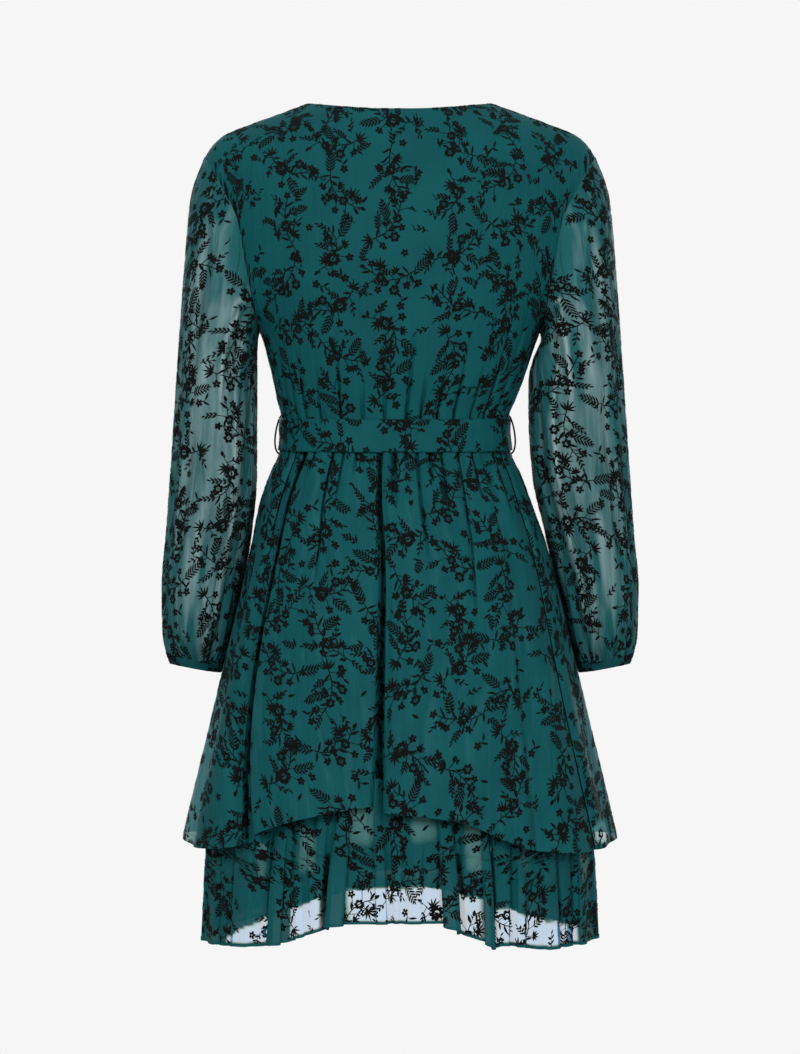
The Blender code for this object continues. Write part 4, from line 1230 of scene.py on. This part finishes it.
def find_on_grid(flat, target):
    """Fractional row and column whose flat place is target: the column is looked up
    along the row, then the row down the column, in turns until both settle."""
    reach = 0.2 * np.ptp(flat, axis=(0, 1)).max()
    low = flat.min(axis=(0, 1)) - reach
    high = flat.max(axis=(0, 1)) + reach
    count = 900                 # lattice values each way
    wide = np.linspace(low[0], high[0], count)
    tall = np.linspace(low[1], high[1], count)
    columns_at = np.stack([padded_inverse(line, reach, wide) for line in flat[..., 0]])[..., None]
    rows_at = np.stack([padded_inverse(line, reach, tall) for line in flat[..., 1].T])[..., None]
    last_row, last_column = flat.shape[0] - 1.0, flat.shape[1] - 1.0
    across = (target[:, 0] - low[0]) / (high[0] - low[0]) * (count - 1)
    down = (target[:, 1] - low[1]) / (high[1] - low[1]) * (count - 1)
    row = np.clip((target[:, 1] - low[1] - reach) / (high[1] - low[1] - 2 * reach), 0, 1) * last_row
    for _ in range(12):
        column = sample(columns_at, np.clip(row, 0.0, last_row), across)[:, 0]
        row = sample(rows_at, np.clip(column, 0.0, last_column), down)[:, 0]
    return row, column


def print_cloth(name, points, flat, material, start, lift=FLOCK_LIFT, pitch=SPRIG_PITCH):
    """Flock the print on a grid of cloth: find each flat point's place on the grid, cut
    the print at the edges, and stand it off along the cloth's normal."""
    flat = flat / MM
    spread = scattered(flat.min(axis=(0, 1)), flat.max(axis=(0, 1)), start, pitch)
    row, column = find_on_grid(flat, spread.points)
    last_row, last_column = points.shape[0] - 1.0, points.shape[1] - 1.0
    inside = (row > 0) & (row < last_row) & (column > 0) & (column < last_column)
    row = np.clip(row, 0.0, last_row)
    column = np.clip(column, 0.0, last_column)
    missed = np.linalg.norm(sample(flat, row, column) - spread.points, axis=1) > 1.5  # mm
    inside_faces = inside[spread.faces].any(axis=1)
    lost_faces = (inside & missed)[spread.faces].any(axis=1)
    faces = spread.faces[inside_faces & ~lost_faces]
    used = np.unique(faces)
    renumber = np.zeros(len(inside), int)
    renumber[used] = np.arange(len(used))
    row = row[used]
    column = column[used]
    flock = sample(points, row, column) + sample(grid_normals(points), row, column) * lift
    return put_mesh(name, flock, renumber[faces], material)


def stitches(name, points, share, spacing, length, width, material, lift=0.0004):
    """Row of short flat stitches along a grid, at a share of the way down it."""
    row = share * (points.shape[0] - 1.0)
    line = sample(points, np.full(points.shape[1], row), np.arange(points.shape[1], dtype=float))
    run = np.concatenate([[0.0], np.cumsum(np.linalg.norm(np.diff(line, axis=0), axis=1))])
    begin = np.arange(spacing, run[-1] - spacing, spacing)
    columns = np.interp(np.stack([begin, begin + length], 1), run, np.arange(len(run)))
    tall = np.linalg.norm(points[-1, 0] - points[0, 0])
    half = width / 2 / tall * (points.shape[0] - 1.0)
    column = columns[:, [0, 1, 1, 0]].ravel()
    rows = np.tile([row - half, row - half, row + half, row + half], len(begin))
    corners = sample(points, rows, column) + sample(grid_normals(points), rows, column) * lift
    return put_mesh(name, corners, np.arange(len(corners)).reshape(-1, 4), material)


# --- Materials --------------------------------------------------------------

def srgb(text):
    """Linear colour of an sRGB hex value."""
    values = np.array([int(text[place:place + 2], 16) / 255.0 for place in (1, 3, 5)])
    linear = np.where(values <= 0.04045, values / 12.92, ((values + 0.055) / 1.055) ** 2.4)
    return (*linear.tolist(), 1.0)


def add_node(tree, kind, inputs=None, **settings):
    """Add a node with its settings.  Each input is given by its name or number, as a
    value, an sRGB hex colour or the socket that feeds it."""
    made = tree.nodes.new(kind)
    for key, value in settings.items():
        setattr(made, key, value)
    for key, source in (inputs or {}).items():
        if isinstance(source, bpy.types.NodeSocket):
            tree.links.new(source, made.inputs[key])
        else:
            made.inputs[key].default_value = srgb(source) if isinstance(source, str) else source
    return made


def noise(tree, scale, detail, at):
    """Noise from 0 to 1 at a point."""
    return add_node(tree, "ShaderNodeTexNoise",
                    {"Scale": scale, "Detail": detail, "Vector": at}).outputs["Fac"]


def maths(tree, operation, *terms, **settings):
    """Result of a sum on numbers or sockets."""
    return add_node(tree, "ShaderNodeMath", dict(enumerate(terms)), operation=operation,
                    **settings).outputs["Value"]


def ramp(tree, value, low, high):
    """0 where value is low or less, 1 where it is high or more, straight between."""
    return add_node(tree, "ShaderNodeMapRange",
                    {"Value": value, "From Min": low, "From Max": high}).outputs["Result"]


def blend(tree, share, low, high):
    """Colour that goes from low to high as share goes from 0 to 1."""
    return add_node(tree, "ShaderNodeMix", {0: share, 6: low, 7: high},
                    data_type="RGBA").outputs[2]


def bump(tree, height, strength, distance, **under):
    """Normal that is roughened by a height, on top of another one if it is given."""
    return add_node(tree, "ShaderNodeBump", {"Height": height, "Strength": strength,
                                             "Distance": distance, **under}).outputs["Normal"]


def new_material(name):
    """Material with its node tree and its Principled shader."""
    material = bpy.data.materials.new(name)
    material.use_nodes = True
    return material, material.node_tree, material.node_tree.nodes["Principled BSDF"]


def chiffon(name, colour, shade, pale=None, sheer=(0.45, 0.75), crinkle=0.4, painted_lit_lining=None):
    """Polyester chiffon, crinkled by its high-twist yarn: soft, dull, a little sheen.

    The real threads are about 0.2 mm apart, too fine to show, so the grain is drawn
    at 1.3 mm.  pale is painted light: the colour painted where a sheer layer is at its
    most open, for the light that comes through it, on top of its real see-through alpha;
    sheer is the cover at which it is all pale and at which nothing is left of it.  veil,
    if given, is painted light too: the colour between, painted for the lit cloth behind
    a layer open enough to show it.  Faint creases about 12 mm apart run down the cloth,
    as deep as crinkle says; in a sheer layer they also shift how much of this painted
    light its colour takes.
    """
    material, tree, shader = new_material(name)
    flat = add_node(tree, "ShaderNodeUVMap", uv_map="flat").outputs["UV"]
    grain = noise(tree, 760.0, 2.0, flat)
    cloud = noise(tree, 16.0, 2.0, flat)
    run = add_node(tree, "ShaderNodeVectorMath", {0: flat, 1: (82.0, 11.0, 1.0)},
                   operation="MULTIPLY").outputs["Vector"]
    crease = add_node(tree, "ShaderNodeTexNoise", {"Scale": 1.0, "Detail": 3.0,
                                                   "Distortion": 0.7, "Vector": run}).outputs["Fac"]
    mottle = maths(tree, "MULTIPLY_ADD", grain, 0.55, cloud)
    tone = blend(tree, ramp(tree, mottle, 0.55, 1.0), shade, colour)
    # Painted light: where the cover attribute is low, a sheer layer's colour is painted paler for
    # the light coming through it, besides its real alpha
    if pale is not None:
        held = add_node(tree, "ShaderNodeAttribute", attribute_name="cover").outputs["Fac"]
        streaked = maths(tree, "MULTIPLY_ADD", crease, 0.22 * crinkle, held)
        if painted_lit_lining is not None:
            tone = blend(tree, ramp(tree, streaked, 0.62, 0.92), painted_lit_lining, tone)
        solid = ramp(tree, streaked, sheer[0] + 0.11 * crinkle, sheer[1] + 0.11 * crinkle)
        tone = blend(tree, solid, pale, tone)
        speck = maths(tree, "MULTIPLY_ADD", grain, 0.26, -0.13)
        flicker = maths(tree, "MULTIPLY", speck, maths(tree, "SUBTRACT", 1.0, held))
        alpha = maths(tree, "MULTIPLY_ADD", flicker, 2.0, held, use_clamp=True)
        tree.links.new(alpha, shader.inputs["Alpha"])
    folds = bump(tree, crease, 1.0, 0.006 * crinkle)
    tree.links.new(tone, shader.inputs["Base Color"])
    tree.links.new(bump(tree, grain, 0.20, 0.0005, Normal=folds), shader.inputs["Normal"])
    shader.inputs["Roughness"].default_value = 0.72
    shader.inputs["Specular IOR Level"].default_value = 0.10
    shader.inputs["Sheen Weight"].default_value = 0.015
    shader.inputs["Sheen Roughness"].default_value = 0.4
    return material


def grained(name, colour, shade, size_mm, roughness, strength):
    """Plain finish with a fine mottle of a given size, for flock, lining and thread."""
    material, tree, shader = new_material(name)
    here = add_node(tree, "ShaderNodeTexCoord").outputs["Object"]
    mottle = noise(tree, 1.0 / (size_mm * MM), 2.0, here)
    tree.links.new(blend(tree, mottle, shade, colour), shader.inputs["Base Color"])
    tree.links.new(bump(tree, mottle, strength, 0.0004), shader.inputs["Normal"])
    shader.inputs["Roughness"].default_value = roughness
    shader.inputs["Specular IOR Level"].default_value = 0.10
    return material


# --- The dress --------------------------------------------------------------

def dress():
    """Make every piece of cloth, its print, hems and stitches, and the belt loops."""
    # Printed polyester chiffon: over the bodice's lining and on the sash, over the
    # skirt's lining, alone on the sleeves, alone on the ruffle, and gathered at a cuff
    lined = chiffon("lined_teal_chiffon", "#075054", "#05474c")
    # Painted light: where the outer tier is thinner its colour is painted paler, for the light
    # coming through it
    tier = chiffon("tier_teal_chiffon", "#075054", "#05474c", "#4f9399", (0.76, 1.0))
    # Painted light: the same chiffon as the lined panels, painted lighter for the light that comes
    # through a single layer, and painted pale where its cover is low
    sleeve_cloth = chiffon("sheer_sleeve_chiffon", "#1c5c60", "#175155", "#a6c2c4",
                           sheer=(0.72, 0.97), crinkle=1.0)
    # Painted light: a bluish pale colour painted where the ruffle is thinnest, for the backdrop's
    # light seen through it, and a colour painted for the lit lining behind its half-open places
    ruffle_cloth = chiffon("sheer_ruffle_chiffon", "#0a5256", "#074a4f", "#469ad0",
                           sheer=(0.45, 0.60), crinkle=0.6, painted_lit_lining="#6c9e9c")
    band_cloth = chiffon("gathered_cuff_chiffon", "#0b4a4e", "#083c41")
    # Plain pongee, nylon flock of the print, and sewing thread of loops and hem
    lining_cloth = grained("pongee_lining", "#46706f", "#3c6463", 3.0, 0.55, 0.05)
    flock = grained("black_flock", "#0d0f10", "#08090a", 0.9, 0.95, 0.4)
    thread = grained("tone_thread", "#061a1c", "#041214", 0.6, 0.8, 0.3)
    pale_thread = grained("hem_thread", "#1c666a", "#14585c", 0.6, 0.8, 0.3)

    for half, name in ((1, "bodice_back"), (-1, "bodice_front")):
        points = bodice_points(half)
        flat = flat_places(points, True)
        cloth = lay_cloth(name + "_cloth", points, flat, lined)
        flowers = print_cloth(name + "_print", points, flat, flock, 2 if half > 0 else 5)
        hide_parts(name)

    for start, name in ((0.0, "back"), (180.0, "front")):
        points, deg, drop = upper_points(start)
        flat = flat_places(points)
        cloth = lay_cloth(f"skirt_upper_{name}_cloth", points, flat, tier, upper_density(deg, drop))
        flowers = print_cloth(f"skirt_upper_{name}_print", points, flat, flock,
                              1 if name == "back" else 4)
        hem = stitches(f"skirt_upper_{name}_topstitch", points, share=0.981, spacing=0.0034,
                       length=0.0022, width=0.0005, material=pale_thread)
        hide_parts("skirt_upper_" + name)

        points = lining_points(start)
        cloth = lay_cloth(f"lining_{name}_cloth", points, flat_places(points), lining_cloth)
        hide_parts("lining_" + name)

        points, deg, share = ruffle_points(start)
        flat = flat_places(points)
        density = ruffle_density(deg, share)
        cloth = lay_cloth(f"skirt_lower_{name}_cloth", points, flat, ruffle_cloth, density)
        flowers = print_cloth(f"skirt_lower_{name}_print", points, flat, flock,
                              3 if name == "back" else 0)
        turned_up = points[-2:] + grid_normals(points)[-2:] * 0.0006
        band = lay_cloth(f"skirt_lower_{name}_hem", turned_up, flat[-2:], ruffle_cloth, 0.97)
        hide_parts("skirt_lower_" + name)

    for side, name in ((1, "left"), (-1, "right")):
        points, share, turn = sleeve_points(side)
        flat = sleeve_flat(points, side)
        cloth = lay_cloth(f"sleeve_{name}_cloth", points, flat, sleeve_cloth,
                          sleeve_density(share, turn, side))
        flowers = print_cloth(f"sleeve_{name}_print", points, flat, flock, 0 if side > 0 else 3,
                              pitch=SLEEVE_PITCH)
        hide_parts("sleeve_" + name)
        ring = cuff_points(points, side)
        flat = flat_places(ring)
        cuff = lay_cloth(f"cuff_{name}_cloth", ring, flat, band_cloth)
        cuff_print = print_cloth(f"cuff_{name}_print", ring, flat, flock, 1)
        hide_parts("cuff_" + name)

    points = sash_points()
    flat = flat_places(points)
    band = lay_cloth("sash_cloth", points, flat, lined)
    thickness = band.modifiers.new("two_layers", "SOLIDIFY")
    thickness.thickness = 0.0012
    thickness.offset = 0.0
    flowers = print_cloth("sash_print", points, flat, flock, 3, lift=0.0010)
    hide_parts("sash")

    for side, name in ((1, "left"), (-1, "right")):
        loop = belt_loop("belt_loop_" + name + "_thread", side, thread)
        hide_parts("belt_loop_" + name)


# --- Studio -----------------------------------------------------------------

def camera():
    """Camera level with the middle of the dress, behind it."""
    data = bpy.data.cameras.new("camera")
    data.sensor_width = SENSOR
    data.lens = SENSOR * CAMERA_DISTANCE / FRAME_HEIGHT
    held = bpy.data.objects.new("camera", data)
    held.location = (0.0, CAMERA_DISTANCE, CAMERA_HEIGHT)
    held.rotation_euler = (math.pi / 2, 0.0, math.pi)
    bpy.context.scene.collection.objects.link(held)
    bpy.context.scene.camera = held


def softbox(name, place_at, target, size, power):
    """Square area lamp at a place, turned to face a target."""
    data = bpy.data.lights.new(name, "AREA")
    data.shape = "SQUARE"
    data.size = size
    data.energy = power
    lamp = bpy.data.objects.new(name, data)
    lamp.location = place_at
    away = np.array(target) - np.array(place_at)
    flat_run = math.hypot(away[0], away[1])
    lamp.rotation_euler = (math.atan2(flat_run, -away[2]), 0.0, math.atan2(-away[0], away[1]))
    bpy.context.scene.collection.objects.link(lamp)


def studio():
    """Pale floor, soft lamps all round, and a world that is pale where it is seen and
    dimmer where it lights the cloth."""
    middle = (0.0, 0.0, -0.47)
    softbox("key_left", (1.1, 3.1, 0.55), middle, size=0.9, power=50.0)
    softbox("key_right", (-1.5, 2.9, 0.1), middle, size=1.0, power=34.0)
    softbox("fill_left", (0.9, -3.0, 0.4), middle, size=1.0, power=46.0)
    softbox("fill_right", (-1.5, -2.6, 0.2), middle, size=1.0, power=28.0)
    softbox("top", (0.0, 0.2, 2.0), middle, size=1.2, power=10.0)

    white, tree, shader = new_material("floor_paper")   # matt paper under the dress
    grain = add_node(tree, "ShaderNodeTexNoise", {"Scale": 40.0}).outputs["Fac"]
    tree.links.new(blend(tree, grain, "#eeeeee", "#f4f4f4"), shader.inputs["Base Color"])
    shader.inputs["Roughness"].default_value = 0.9
    corners = [(FLOOR_HALF * x, FLOOR_HALF * y, FLOOR_Z)
               for x, y in ((-1, -1), (1, -1), (1, 1), (-1, 1))]
    mesh = bpy.data.meshes.new("floor")
    mesh.from_pydata(corners, [], [(0, 1, 2, 3)])
    mesh.materials.append(white)
    floor = bpy.data.objects.new("floor", mesh)
    bpy.context.scene.collection.objects.link(floor)

    world = bpy.data.worlds.new("studio")
    world.use_nodes = True
    tree = world.node_tree
    tree.nodes.clear()
    path = add_node(tree, "ShaderNodeLightPath").outputs
    seen = maths(tree, "MAXIMUM", path["Is Camera Ray"], path["Is Glossy Ray"])
    seen = maths(tree, "MAXIMUM", seen, path["Is Transmission Ray"])
    glow = add_node(tree, "ShaderNodeBackground", {"Color": "#ffffff", "Strength": 0.34})
    backdrop = add_node(tree, "ShaderNodeBackground", {"Color": "#f6f6f6", "Strength": 1.0})
    mixed = add_node(tree, "ShaderNodeMixShader", {
        0: seen, 1: glow.outputs["Background"], 2: backdrop.outputs["Background"]})
    add_node(tree, "ShaderNodeOutputWorld", {"Surface": mixed.outputs["Shader"]})
    bpy.context.scene.world = world
    bpy.context.scene.view_settings.view_transform = "Standard"


camera()
dress()
studio()
